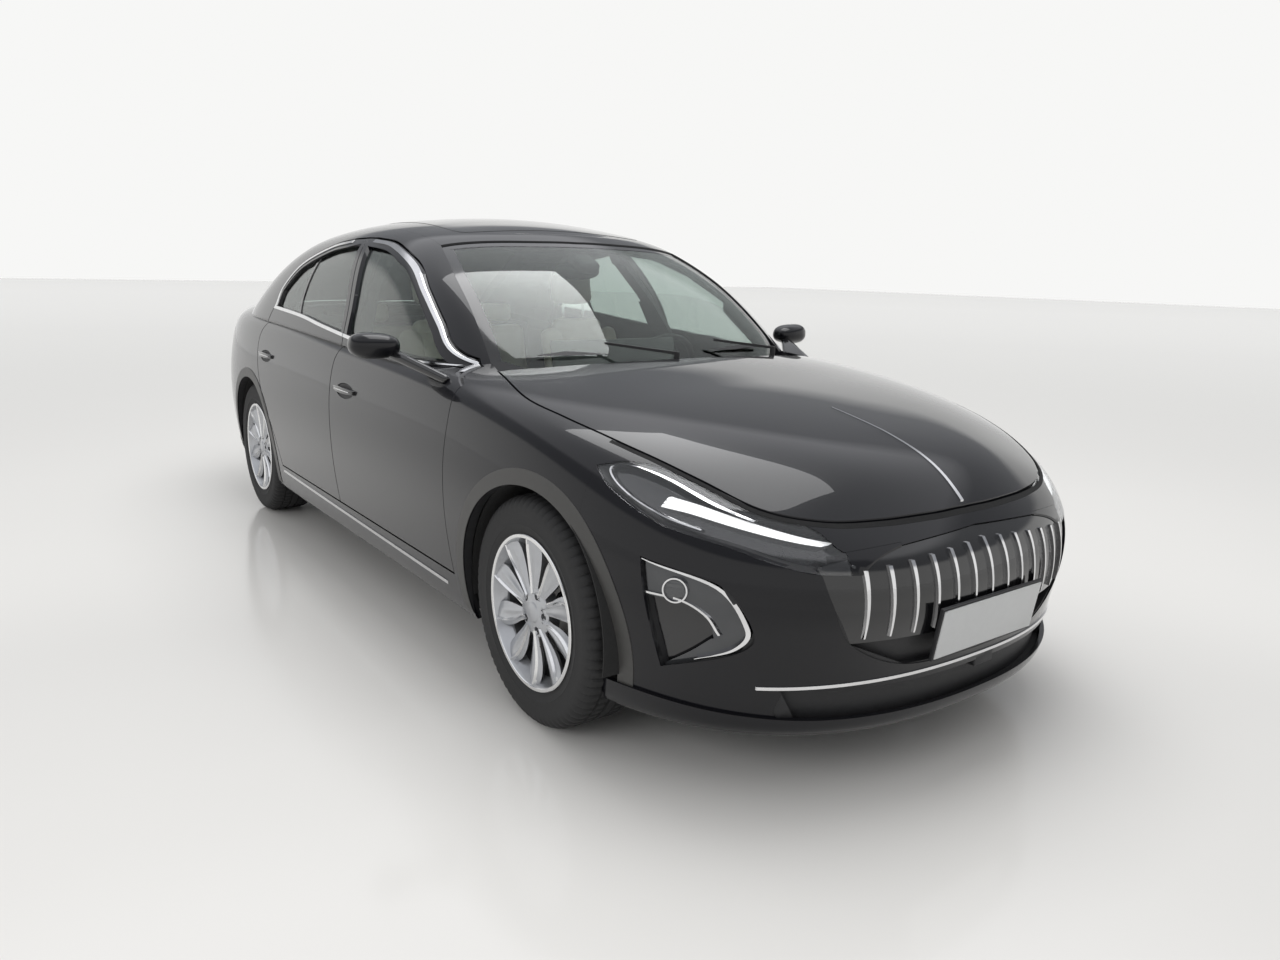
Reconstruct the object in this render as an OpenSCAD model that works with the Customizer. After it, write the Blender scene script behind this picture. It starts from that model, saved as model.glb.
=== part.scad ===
// A four-door sedan, built as separate panels, doors, lids, wheels and cabin pieces.
// +X is forward, +Y is the car's left side, +Z is up, and the origin lies on the ground
// below the middle of the length. Lengths are in millimetres, and angles in degrees.

/* [Overall] */
// Distance between the front and the rear axle
wheelbase = 2990; // [2900:10:3060]
// From the front axle to the foremost point of the nose
front_overhang = 940; // [900:10:980]
// From the rear axle to the rearmost point of the tail
rear_overhang = 1110; // [1060:10:1160]
// Width over the doors, without the mirrors
body_w = 1910; // [1860:10:1940]
// Height of the roof above the ground
roof_h = 1569; // [1540:1:1600]
// Height of the front bumper's lower edge above the ground
sill_z = 175; // [160:1:190]

/* [Panels and gaps] */
// Thickness of the outer panels with their inner sheet
panel_t = 26; // [20:1:32]
// Thickness of a door below its window
door_t = 105; // [90:1:120]
// Thickness of the door's window frame and of the roof pillars
frame_t = 38; // [32:1:44]
// Gap round each door and lid
shut = 7; // [6:0.5:8]
// Gap between panels that are fixed to each other
seam = 0.3; // [0.2:0.1:0.5]
// Thickness of the window glass
glass_t = 5; // [4:0.5:6]

/* [Wheels] */
// Tyre radius
tyre_r = 352; // [340:1:360]
// Tyre section width
tyre_w = 225; // [205:5:245]
// Radius of the rim's bead seat
rim_r = 237; // [225:1:245]
// Distance between the middles of the tyres on one axle
track = 1624; // [1600:2:1640]
// Radius of the opening in the body over each wheel
arch_r = 385; // [378:1:395]
// Distance of the steering axis inboard of the tyre's middle
kingpin = 67; // [60:1:75]
// Spokes in each rim
spokes = 10; // [8:1:14]

/* [Hidden] */

black = [0.03, 0.03, 0.035];
steel = [0.62, 0.64, 0.66];
dark = [0.12, 0.12, 0.13];
silver = [0.8, 0.81, 0.82];
cream = [0.83, 0.78, 0.7];
clear = [0.55, 0.68, 0.62, 0.5];

// Where the body ends and the axles stand, from the middle of the length
nose_x = (wheelbase + front_overhang + rear_overhang) / 2;
tail_x = -nose_x;
axle_f = nose_x - front_overhang;
axle_r = axle_f - wheelbase;
half_w = body_w / 2;
mid_x = (axle_f + axle_r) / 2;
wheel_y = track / 2;
pin_y = wheel_y - kingpin;
fit = 0.3;

// x of a station along the body: 0 the tail, 1 the rear axle, 2 the front axle, 3 the nose
function st(s) = s < 1 ? tail_x + s * rear_overhang
    : s < 2 ? axle_r + (s - 1) * wheelbase : axle_f + (s - 2) * front_overhang;

// A smooth curve through a list of [x, value] points, which rise in x
function seg(t, x, i = 0) = i >= len(t) - 2 || x < t[i + 1][0] ? i : seg(t, x, i + 1);
function chord(t, i, j) = (t[j][1] - t[i][1]) / (t[j][0] - t[i][0]);
function slope(t, i) = chord(t, max(i - 1, 0), min(i + 1, len(t) - 1));
function curve(t, x) =
    let (c = min(max(x, t[0][0]), t[len(t) - 1][0]), i = seg(t, c), h = t[i + 1][0] - t[i][0],
         s = (c - t[i][0]) / h, m0 = slope(t, i) * h, m1 = slope(t, i + 1) * h)
    (2 * s * s * s - 3 * s * s + 1) * t[i][1] + (s * s * s - 2 * s * s + s) * m0
    + (3 * s * s - 2 * s * s * s) * t[i + 1][1] + (s * s * s - s * s) * m1;

// A uniform cubic B-spline through control points, at a parameter from 0 to their number less 3
function bs(c, t) =
    let (i = min(floor(t), len(c) - 4), s = t - i)
    (pow(1 - s, 3) * c[i] + (3 * s * s * s - 6 * s * s + 4) * c[i + 1]
     + (-3 * s * s * s + 3 * s * s + 3 * s + 1) * c[i + 2] + s * s * s * c[i + 3]) / 6;

// Squareness of the body's plan at its two ends
nose_a = 7;
nose_b = 2.3;
tail_a = 9;
tail_b = 3;
cab_a = 9;
cab_b = 2.6;
function across(e, a, b) = pow(max(1 - pow(e, a), 0), 1 / b);

// How far each end lies behind its foremost or rearmost point, by height
nose_lean = [[150, 40], [230, 20], [330, 55], [460, 22], [600, 4], [680, 0], [740, 22], [800, 62],
             [950, 150], [1100, 240]];
tail_lean = [[150, 90], [300, 30], [450, 0], [650, 22], [850, 45], [1000, 40], [1100, 10]];
// Heights along the body: the lower edge, the shoulder and the middle of hood and lid
low_line = [[st(0), 60], [st(0.5), 55], [st(1.1), 40], [st(1.85), 40], [st(2.3), 12], [st(3), 0]];
shoulder = [[st(0), 1075], [st(0.25), 1085], [st(0.7), 1085], [st(1.1), 1070], [st(1.5), 1030],
            [st(1.82), 1000], [st(2), 955], [st(2.35), 905], [st(2.65), 840], [st(2.85), 765], [st(3), 690]];
ridge = [[st(0), 1095], [st(0.2), 1130], [st(0.4), 1155], [st(1), 1110], [st(1.5), 1060],
         [st(1.84), 1048], [st(2), 992], [st(2.35), 940], [st(2.65), 880], [st(2.85), 822], [st(3), 740]];
// Middle of the roof, from the rear window's foot to the windshield's foot, below roof_h
roof_line = [[st(0.37), 400], [st(0.7), 190], [st(0.95), 92], [st(1.1), 50], [st(1.25), 8], [st(1.37), 0],
             [st(1.47), 22], [st(1.57), 84], [st(1.7), 270], [st(1.85), 520]];

// Columns of the lower body: an end, 1 front or -1 rear, and the share of the half length.
// Inner faces have fewer of them than the skin.
shares = [0, 0.14, 0.28, 0.42, 0.55, 0.66, 0.75, 0.83, 0.89, 0.935, 0.966, 0.986, 0.997, 1];
inner_shares = [0, 0.28, 0.55, 0.75, 0.89, 0.966, 0.997, 1];
tub_steps = [0, 0.6, 1.3, 2.1, 3, 3.7, 4.3, 4.9, 5.6, 6.6, 8];
inner_tub_steps = [0, 0.6, 1.8, 3, 4.1, 5.2, 6.6, 8];
function both_ends(t) = concat([for (i = [len(t) - 1:-1:1]) [-1, t[i]]], [for (s = t) [1, s]]);
// Rows of the lower body: the share of the height up to the shoulder, and the inset
tub_rows = [[0, 45], [0.06, 26], [0.32, 2], [0.6, -6], [0.87, 28], [1, 85]];
cab_shares = [0, 0.17, 0.34, 0.5, 0.63, 0.74, 0.83, 0.9, 0.95, 0.98, 1];
inner_cab_shares = [0, 0.34, 0.63, 0.83, 0.95, 1];
cab_steps = [0, 0.5, 1.1, 1.8, 2.4, 2.9, 3.4, 4, 5, 6];
inner_cab_steps = [0, 0.6, 1.6, 2.6, 3.3, 4.2, 6];
cab_rows = [[0, 0], [0.2, 0.3], [0.52, 0.68], [1, 1]];
base_f = st(1.85);
base_r = st(0.37);
top_f = st(1.57);
top_r = st(1.1);
cab_mid = st(1.33);

// Points of the lower body: round the outline, then inwards over the hood or the lid
function outline(q, z, inset) =
    let (f = q[0] > 0,
         reach = f ? nose_x - curve(nose_lean, z) - mid_x : mid_x - tail_x - curve(tail_lean, z))
    [mid_x + q[0] * q[1] * (reach - inset),
     -(half_w - inset) * (f ? across(q[1], nose_a, nose_b) : across(q[1], tail_a, tail_b))];
function spine(x) = x > st(2.3) ? st(2.3) + (x - st(2.3)) * 0.3
    : x < st(0.35) ? st(0.35) + (x - st(0.35)) * 0.3 : x;
function lid_z(x, r) = curve(ridge, x) - (curve(ridge, x) - curve(shoulder, x)) * r * r;
function tub_control(q, off) =
    let (x0 = mid_x + q[0] * q[1] * (q[0] > 0 ? nose_x - mid_x : mid_x - tail_x),
         low = sill_z + curve(low_line, x0), h = curve(shoulder, x0) - low,
         side = [for (r = tub_rows) let (z = low + r[0] * h, p = outline(q, z, r[1] + off))
                 [p[0], p[1], z - (r[0] == 1 || r[0] == 0 ? off : 0)]],
         edge = side[len(side) - 1], cx = spine(edge[0]),
         lid = [for (r = [0.7, 0.36, 0, -0.36]) let (x = cx + (edge[0] - cx) * abs(r))
                [x, edge[1] * r, lid_z(x, r) - off]])
    concat([2 * side[0] - side[1]], side, lid);
function cab_control(q, off) =
    let (f = q[0] > 0, e = q[1], w = across(e, cab_a, cab_b),
         bx = cab_mid + q[0] * e * ((f ? base_f - cab_mid : cab_mid - base_r) - off),
         tx = cab_mid + q[0] * e * ((f ? top_f - cab_mid : cab_mid - top_r) - off),
         by = -(half_w - 70 - off) * w, ty = -(655 - off) * w,
         bz = curve(shoulder, bx) - 45, tz = roof_h - curve(roof_line, tx) - 70 * w * w - off + 12,
         side = [for (r = cab_rows) [bx + (tx - bx) * r[0], by + (ty - by) * r[0], bz + (tz - bz) * r[1]]],
         lid = [for (r = [0.6, 0.3, 0, -0.3])
                [tx, ty * r, roof_h - curve(roof_line, tx) - 70 * w * w * r * r - off + 4]])
    concat([[bx, by, bz - (off > 0 ? 700 : 60)]], side, lid);

// A closed solid from columns of points on the right side, mirrored to the left
module two_sided(cols) {
    nc = len(cols);
    nr = len(cols[0]);
    loop = 2 * nc - 2;
    function id(k, j) = let (m = k % loop) m < nc ? m * nr + j
        : j == nr - 1 ? (loop - m) * nr + j : nc * nr + (m - nc) * (nr - 1) + j;
    right = [for (c = cols) for (p = c) abs(p[1]) < 0.001 ? [p[0], 0, p[2]] : p];
    left = [for (k = [nc:loop - 1]) for (j = [0:nr - 2]) let (p = cols[loop - k][j]) [p[0], -p[1], p[2]]];
    skin = [for (k = [0:loop - 1]) for (j = [0:nr - 2]) each [
            [id(k, j), id(k, j + 1), id(k + 1, j + 1)], [id(k, j), id(k + 1, j + 1), id(k + 1, j)]]];
    base = [for (i = [0:nc - 2]) each [
            if (i > 0) [id(i, 0), id(i + 1, 0), id(loop - i, 0)],
            if (i < nc - 2) [id(i + 1, 0), id(loop - i - 1, 0), id(loop - i, 0)]]];
    polyhedron(concat(right, left), concat(skin, base));
}
module tub_solid(off = 0) {
    rough = off > 5;
    two_sided([for (q = both_ends(rough ? inner_shares : shares)) let (c = tub_control(q, off))
               [for (t = rough ? inner_tub_steps : tub_steps) bs(c, t)]]);
}
module cabin_solid(off = 0) {
    rough = off > 5;
    two_sided([for (q = both_ends(rough ? inner_cab_shares : cab_shares)) let (c = cab_control(q, off))
               [for (t = rough ? inner_cab_steps : cab_steps) bs(c, t)]]);
}

// Panels are curved sheets with flat facets, each kept as one mesh
module sheet() {
    resize([0, 0, 0]) children();
}
module body_shell(t, tc) {
    difference() {
        union() {
            tub_solid();
            cabin_solid();
        }
        tub_solid(t);
        cabin_solid(tc);
    }
}
module left() {
    mirror([0, 1, 0]) children();
}
module both() {
    children();
    left() children();
}
module box(x0, x1, y0, y1, z0, z1) {
    translate([x0, y0, z0]) cube([x1 - x0, y1 - y0, z1 - z0]);
}

// Outlines on the right side, seen from the side, as they lie at the widest part of the body.
// They run inwards and forwards, along the way a door edge moves as it opens.
lean = 0.34;
function at(x, y, z) = [x - lean * (half_w + y), z];
door_low = 345;
a_line = [at(1107, -955, door_low), at(1088, -950, 500), at(1072, -950, 700), at(1064, -930, 860),
          at(1050, -865, 965)];
pillar_line = [at(980, -835, 985), at(811, -767, 1060), at(678, -754, 1156), at(521, -732, 1258),
               at(334, -697, 1360), at(67, -669, 1435), at(-160, -660, 1457)];
b_line = [at(-265, -672, 1459), at(-135, -816, 1200), at(-100, -870, 1040), at(-90, -945, 840),
          at(-60, -955, 660), at(-45, -955, 490), at(-30, -955, door_low)];
rail_line = [at(-420, -680, 1456), at(-650, -700, 1430), at(-960, -755, 1347), at(-1130, -810, 1225),
             at(-1160, -850, 1140)];
c_line = [at(-1190, -865, 1105), at(-1240, -900, 1030), at(-1255, -935, 920), at(-1200, -950, 780),
          at(-1100, -955, 640), at(-990, -955, 520), at(-930, -955, 420), at(-900, -955, door_low)];
front_door_line = concat(a_line, pillar_line, b_line);
rear_door_line = concat([for (i = [len(b_line) - 1:-1:0]) b_line[i]], rail_line, c_line);
belt_line = [[1300, 1012], [500, 1016], [200, 1036], [-100, 1056], [-450, 1082], [-760, 1108], [-1300, 1132]];
fender_line = concat([[1107, 100]], a_line, [at(1010, -850, 990), [930, 1100], [2600, 1100], [2600, 100]]);

// Outlines in plan, right half, later mirrored
hood_edge = [[1200, 0], [1182, -300], [1130, -550], [1052, -735], [1360, -805], [1580, -800], [1760, -775],
             [1900, -745], [2070, -690], [2217, -613], [2311, -486], [2361, -323], [2384, -147], [2388, 0]];
shield_edge = [[378, 0], [362, -250], [290, -588], [520, -640], [720, -668], [945, -700], [1030, -570],
               [1095, -340], [1140, 0]];
rear_edge = [[-1150, 0], [-1140, -300], [-1105, -545], [-1500, -610], [-1910, -640], [-1955, -350], [-1980, 0]];
roof_edge = [[378, 0], [362, -250], [290, -588], [-400, -604], [-1105, -545], [-1140, -300], [-1150, 0]];
lid_edge = [[-2050, 0], [-2030, -350], [-1985, -610], [-2150, -655], [-2700, -665], [-2700, 0]];
cowl_edge = [[1140, 0], [1095, -340], [1030, -570], [945, -700], [1052, -735], [1130, -550], [1182, -300], [1200, 0]];
deck_edge = [[-1980, 0], [-1955, -350], [-1910, -640], [-1985, -650], [-2030, -350], [-2050, 0]];
lid_low = 670;
lamp_line = [[2420, 700], [2382, 680], [2319, 729], [2238, 762], [2017, 838], [1896, 856], [1823, 838],
             [1897, 789], [2056, 726], [2217, 690], [2358, 637], [2420, 625]];
unit_line = [[2035, 640], [2226, 598], [2290, 490], [2260, 420], [2090, 350]];
tail_line = [[-2130, 905], [-2230, 948], [-2700, 968], [-2700, 868], [-2230, 872]];

module side_prism(line, g = 0, y_in = -400) {
    multmatrix([[1, lean, 0, lean * half_w], [0, 1, 0, 0], [0, 0, 1, 0], [0, 0, 0, 1]])
        translate([0, y_in, 0]) rotate([90, 0, 0]) linear_extrude(700) offset(delta = g) polygon(line);
}
module side_slab(line, g = 0, y_in = -300) {
    translate([0, y_in, 0]) rotate([90, 0, 0]) linear_extrude(800) offset(delta = g) polygon(line);
}
module plan_prism(edge, g = 0, z0 = 500, z1 = 1700) {
    translate([0, 0, z0]) linear_extrude(z1 - z0) offset(delta = g) union() {
        polygon(edge);
        mirror([0, 1]) polygon(edge);
    }
}
module window_prism(line, g = 0) {
    multmatrix([[1, lean, 0, lean * half_w], [0, 1, 0, 0], [0, 0, 1, 0], [0, 0, 0, 1]])
        translate([0, -400, 0]) rotate([90, 0, 0]) linear_extrude(700) offset(delta = g) intersection() {
            offset(delta = -shut / 2 - 32) polygon(line);
            polygon(concat(belt_line, [[-1300, 1600], [1300, 1600]]));
        }
}
liner_end = 912;
module arch_cuts() {
    for (w = [[axle_f, 440], [axle_r, 620]]) translate([w[0], -w[1], tyre_r]) rotate([90, 0, 0]) {
        cylinder(r = arch_r, h = 600, $fn = 64);
        cylinder(r = arch_r + 7, h = liner_end + 2 - w[1], $fn = 64);
    }
}
// A strip along the line between the doors, from g0 behind it to g1 in front of it
function strip(g0, g1, z0, z1) = concat([for (p = b_line) if (p[1] >= z0 && p[1] <= z1) [p[0] - g0, p[1]]],
    [for (i = [len(b_line) - 1:-1:0]) let (p = b_line[i]) if (p[1] >= z0 && p[1] <= z1) [p[0] + g1, p[1]]]);
low_strip = concat([[b_line[1][0] - 62, 1190]], [for (i = [2:6]) [b_line[i][0] - 62, b_line[i][1] - (i == 6 ? 30 : 0)]],
                   [for (i = [6:-1:2]) [b_line[i][0] + 100, b_line[i][1] - (i == 6 ? 30 : 0)]], [[b_line[1][0] + 62, 1190]]);

// Hinges: arms bent round the door's axis, which lies in the front shut line at the skin
arm_r = 90;
arm_t = 14;
arm_h = 30;
arm_z = [500, 790];
hinge_f = 1105;
hinge_r = -33;
module arm_ring(x, a0, a1, g = 0) {
    for (z = arm_z) translate([x, -half_w, z - arm_h / 2 - g]) linear_extrude(arm_h + 2 * g) difference() {
        circle(r = arm_r + arm_t / 2 + (g > 0 ? 2 : 0), $fn = 72);
        circle(r = arm_r - arm_t / 2 - (g > 0 ? 2 : 0), $fn = 72);
        polygon([[0, 0], 400 * [cos(a1), sin(a1)], [-400, 400], [-400, -400], [400, -400], 400 * [cos(a0), sin(a0)]]);
    }
}

// What lies inboard of the doors' frames, in plan
inner_plan = [[-2600, 0], [-2600, -612], [300, -612], [1000, -752], [1400, -820], [1400, 0]];
// The opening of the front door, which leaves the windshield pillar whole inside the door's frame
module front_door_gap() {
    difference() {
        side_prism(front_door_line, shut / 2);
        translate([0, shut, 967]) linear_extrude(600) intersection() {
            polygon(inner_plan);
            translate([600, -1000]) square([900, 1000]);
        }
    }
}

module front_post(g) {
    intersection() {
        tub_solid(panel_t + 4 - g);
        box(1075, 1180 + g, -960, -806 + g, 320 - g, 930 + g);
    }
}

module pillar_foot(g) {
    intersection() {
        union() {
            tub_solid(panel_t + 2 - g);
            cabin_solid(2 - g);
        }
        union() {
            box(1045 - g, 1160 + g, -775 - g, -735 + g, 941 - g, 1015);
            box(1090 - g, 1180 + g, -890 - g, -735 + g, 941 - g, 1015);
            box(1136 - g, 1180 + g, -890 - g, -735 + g, 895 - g, 945);
        }
    }
}

module door_right(line) {
    difference() {
        intersection() {
            union() {
                difference() {
                    tub_solid();
                    tub_solid(door_t);
                    box(-2600, 2600, -half_w + 52 + door_t, 1000, 0, 1400);
                    cabin_solid(frame_t);
                }
                difference() {
                    cabin_solid();
                    cabin_solid(frame_t);
                    box(-2600, 2600, -1000, 1000, 0, 960);
                    linear_extrude(1600) polygon(inner_plan);
                }
            }
            side_prism(line, -shut / 2);
        }
        window_prism(line);
    }
}
module front_door() {
    color(black) sheet() {
        union() {
            difference() {
                door_right(front_door_line);
                intersection() {
                    tub_solid(38);
                    side_prism(strip(60, 107, 0, 1050));
                    box(-400, 400, -1000, 0, 0, 985);
                }
            }
            intersection() {
                arm_ring(hinge_f, 47, 104);
                box(hinge_f - 60, hinge_f + 200, -950, -700, 0, 900);
            }
        }
    }
}
module rear_door() {
    color(black) sheet() {
        union() {
            door_right(rear_door_line);
            arm_ring(hinge_r, 48, 112);
        }
    }
}
module door_glass(line) {
    color(clear) sheet() intersection() {
        difference() {
            cabin_solid(12);
            cabin_solid(12 + glass_t);
            box(-2600, 2600, -1000, 1000, 0, 1000);
            linear_extrude(1600) polygon(inner_plan);
        }
        window_prism(line, -seam);
    }
}

module body_side() {
    color(black) sheet() difference() {
        union() {
            difference() {
                intersection() {
                    body_shell(panel_t, 62);
                    box(-2700, 1500, -1000, -400, 100, 1700);
                }
                front_door_gap();
                side_prism(rear_door_line, shut / 2);
            }
            // sill
            intersection() {
                difference() {
                    tub_solid();
                    tub_solid(door_t + 14);
                }
                box(-1020, 1180, -1000, -700, 100, door_low - shut / 2);
            }
            // post in front of the front door, with the slots for its hinge arms, and the foot of
            // the windshield pillar above the bulkhead
            difference() {
                union() {
                    front_post(0);
                    pillar_foot(0);
                }
                front_door_gap();
                arm_ring(hinge_f, 34, 125, fit);
            }
            // pillar between the doors
            difference() {
                intersection() {
                    union() {
                        tub_solid(54);
                        cabin_solid(46);
                    }
                    union() {
                        side_prism(low_strip);
                        side_prism(strip(45, 45, 1030, 1500));
                    }
                }
                difference() {
                    tub_solid(150);
                    box(-400, 400, -1000, 1000, 1000, 1400);
                }
                cabin_solid(78);
                box(-400, 400, -770, 1000, 0, 900);
                intersection() {
                    side_prism(rear_door_line, shut / 2);
                    difference() {
                        union() {
                            tub_solid();
                            box(-400, 400, -1000, -880, 900, 1100);
                        }
                        tub_solid(door_t + 13);
                    }
                    box(-400, 400, -1000, 0, 0, 1030);
                }
                arm_ring(hinge_r, 38, 130, fit);
            }
        }
        arch_cuts();
        // what belongs to the fender, the lids, the windows and the bumpers
        difference() {
            side_prism(fender_line, 0);
            cabin_solid(-seam);
            front_post(0);
            pillar_foot(0);
        }
        box(1180.1, 1600, -1000, 0, 0, 1200);
        plan_prism(shield_edge, seam);
        plan_prism(rear_edge, seam);
        plan_prism(roof_edge, seam);
        plan_prism(cowl_edge, seam);
        plan_prism(deck_edge, seam);
        plan_prism(lid_edge, shut / 2);
        side_slab(tail_line, seam);
        box(-2700, axle_r, -1000, 0, 0, lid_low - 4);
        box(-1151, 1120, -floor_y - seam, 0, 299, 322 + seam);
        intersection() {
            plan_prism(hood_edge, shut / 2, 900);
            difference() {
                tub_solid(-5);
                tub_solid(panel_t + 1);
            }
        }
    }
}
module fender() {
    color(black) sheet() difference() {
        intersection() {
            difference() {
                tub_solid();
                tub_solid(panel_t);
            }
            side_prism(fender_line, -seam);
            box(900, 2236, -1000, -480, 150, 1100);
        }
        cabin_solid(-seam);
        arch_cuts();
        plan_prism(hood_edge, shut / 2);
        plan_prism(cowl_edge, seam);
        bumper_region(0);
        side_slab(lamp_line, 0);
        front_post(seam);
        pillar_foot(seam);
    }
}
// The front bumper lies in front of a line down from the lamp's rear corner, and below the lamp
module bumper_region(g) {
    translate([0, 1000, 0]) rotate([90, 0, 0]) linear_extrude(2000) offset(delta = g)
        polygon([[1823, 100], [1823, 838], [1897, 810], [2056, 765], [2250, 725], [2250, 1100], [2700, 1100],
                 [2700, 100]]);
}

// Hood and trunk lid turn on pins in cheeks below their edges
hood_pin = [1020, 985];
lid_pin = [-1985, 1100];
pin_r = 5;
module lid_arm(pin, y, x1) {
    difference() {
        union() {
            box(min(pin[0], x1), max(pin[0], x1), y - 15, y + 15, pin[1] - 12, pin[1] + 6);
            translate([pin[0], y + 15, pin[1]]) rotate([90, 0, 0]) cylinder(r = 12, h = 30, $fn = 32);
        }
        translate([pin[0], y + 20, pin[1]]) rotate([90, 0, 0]) cylinder(r = pin_r + fit, h = 40, $fn = 32);
    }
}
module lid_cheeks(pin, y, low) {
    for (s = [-1, 1]) box(pin[0] - 10, pin[0] + 10, y + s * 20.3 - 5, y + s * 20.3 + 5, low, pin[1] + 8);
    translate([pin[0], y + 22, pin[1]]) rotate([90, 0, 0]) cylinder(r = pin_r, h = 44, $fn = 32);
}
module hood() {
    color(black) sheet() union() {
        difference() {
            intersection() {
                difference() {
                    tub_solid();
                    tub_solid(panel_t);
                }
                plan_prism(hood_edge, -shut / 2);
            }
            box(2300, 2600, -1000, 1000, 0, 700);
        }
        difference() {
            both() lid_arm(hood_pin, -560, 1190);
            translate([1100, -600, 985]) rotate([0, -8, 0]) cube([200, 1200, 60]);
        }
    }
}
module trunk_lid() {
    color(black) sheet() union() {
        difference() {
            intersection() {
                difference() {
                    tub_solid();
                    tub_solid(panel_t);
                }
                plan_prism(lid_edge, -shut / 2);
            }
            box(-2700, -1500, -1000, 1000, 0, lid_low + shut / 2);
        }
        both() lid_arm(lid_pin, -480, -2110);
    }
}
module roof() {
    color(black) sheet() intersection() {
        body_shell(panel_t, panel_t + 4);
        plan_prism(roof_edge, -seam, 1200);
    }
}
// Cowl below the windshield, and the bulkhead between the cabin and the front bay
module cowl() {
    color(dark) sheet() union() {
        difference() {
            intersection() {
                difference() {
                    union() {
                        tub_solid(panel_t + 6);
                        cabin_solid(panel_t + 6);
                    }
                    tub_solid(panel_t + 18);
                    cabin_solid(panel_t + 22);
                }
                plan_prism(cowl_edge, 10, 900);
            }
            both() box(1000, 1220, -586, -534, 900, 1100);
        }
        difference() {
            intersection() {
                union() {
                    box(1120, 1135, -790, 790, 322.3, 940);
                    box(1120, 1135, -725, 725, 322.3, 1040);
                }
                union() {
                    tub_solid(panel_t + 8);
                    box(1120, 1135, -790, 790, 322.3, 900);
                }
            }
            both() box(1000, 1220, -586, -534, 940, 1100);
            both() box(1100, 1140, 339.7, 420.3, 300, 380.3);
        }
        both() lid_cheeks(hood_pin, -560, 930);
        both() for (y = [-585.3, -544.7]) box(1010, 1125, y, y + 10, 925, 945);
    }
}
grille_edge = [[0, 697], [-300, 682], [-510, 656], [-548, 640], [-526, 560], [-466, 444], [-289, 364], [0, 356]];
intake_edge = [[0, 312], [-420, 312], [-610, 322], [-560, 222], [0, 212]];
module front_prism(edge, g = 0) {
    translate([1900, 0, 0]) rotate([90, 0, 90]) linear_extrude(900) offset(delta = g) union() {
        polygon(edge);
        mirror([1, 0]) polygon(edge);
    }
}
module front_bumper() {
    color(black) sheet() difference() {
        intersection() {
            difference() {
                tub_solid();
                tub_solid(panel_t);
            }
            bumper_region(-seam);
        }
        plan_prism(hood_edge, shut / 2 + 6, 650);
        arch_cuts();
        left() arch_cuts();
        both() side_slab(lamp_line);
        both() side_slab(unit_line, 0, -600);
        front_prism(grille_edge);
        front_prism(intake_edge);
    }
}
// Panels behind the openings, and the upright slats of the grille
slats = 13;
module grille() {
    color(dark) sheet() union() {
        intersection() {
            difference() {
                tub_solid(panel_t + seam);
                tub_solid(panel_t + 12);
            }
            union() {
                front_prism(grille_edge, 12);
                front_prism(intake_edge, 12);
            }
            both() difference() {
                box(1900, 2700, -1000, 0, 150, 800);
                side_slab(lamp_line, 1);
                side_slab(unit_line, 1, -600);
            }
        }
        intersection() {
            difference() {
                tub_solid(-2);
                tub_solid(panel_t + 4);
            }
            difference() {
                for (i = [0:slats - 1]) let (y = (i - (slats - 1) / 2) * 73)
                    box(2200, 2700, y - 5, y + 5, 452, 672 - abs(y) * 0.07);
                both() side_slab(lamp_line, 1);
            }
        }
    }
}
module front_lamps() {
    color(clear) sheet() both() difference() {
        intersection() {
            difference() {
                tub_solid(1);
                tub_solid(panel_t + 14);
            }
            union() {
                side_slab(lamp_line, -seam);
                side_slab(unit_line, -seam, -600);
            }
        }
        plan_prism(hood_edge, shut / 2);
    }
}
module tail_lamps() {
    color([0.5, 0.02, 0.02]) sheet() both() difference() {
        intersection() {
            difference() {
                tub_solid(1);
                tub_solid(panel_t + 14);
            }
            side_slab(tail_line, -seam);
        }
        plan_prism(lid_edge, shut / 2);
        box(-2700, 0, -300, 300, 0, 1200);
    }
}
module rear_bumper() {
    color(black) sheet() difference() {
        intersection() {
            difference() {
                tub_solid();
                tub_solid(panel_t);
            }
            box(-2700, axle_r, -1000, 1000, 100, lid_low - 4 - seam);
        }
        arch_cuts();
        left() arch_cuts();
    }
}
module windows() {
    color(clear) sheet() difference() {
        intersection() {
            difference() {
                cabin_solid(6);
                cabin_solid(6 + glass_t);
            }
            union() {
                plan_prism(shield_edge, -seam, 1020);
                plan_prism(rear_edge, -seam, 1112);
            }
        }
    }
}
module wipers() {
    color(dark) sheet() union() {
        intersection() {
            difference() {
                cabin_solid(-9);
                cabin_solid(6 - seam);
            }
            translate([0, 0, 1045]) linear_extrude(100) for (b = wiper_blades)
                polygon([b[0] - [7, 0], b[0] + [7, 0], b[1] + [7, 0], b[1] - [7, 0]]);
        }
        difference() {
            for (i = [0, 1]) wiper_arm(wiper_posts[i], (wiper_blades[i][0] + wiper_blades[i][1]) / 2);
            tub_solid(panel_t + 6 - seam);
            cabin_solid(-1);
        }
    }
}
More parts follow.
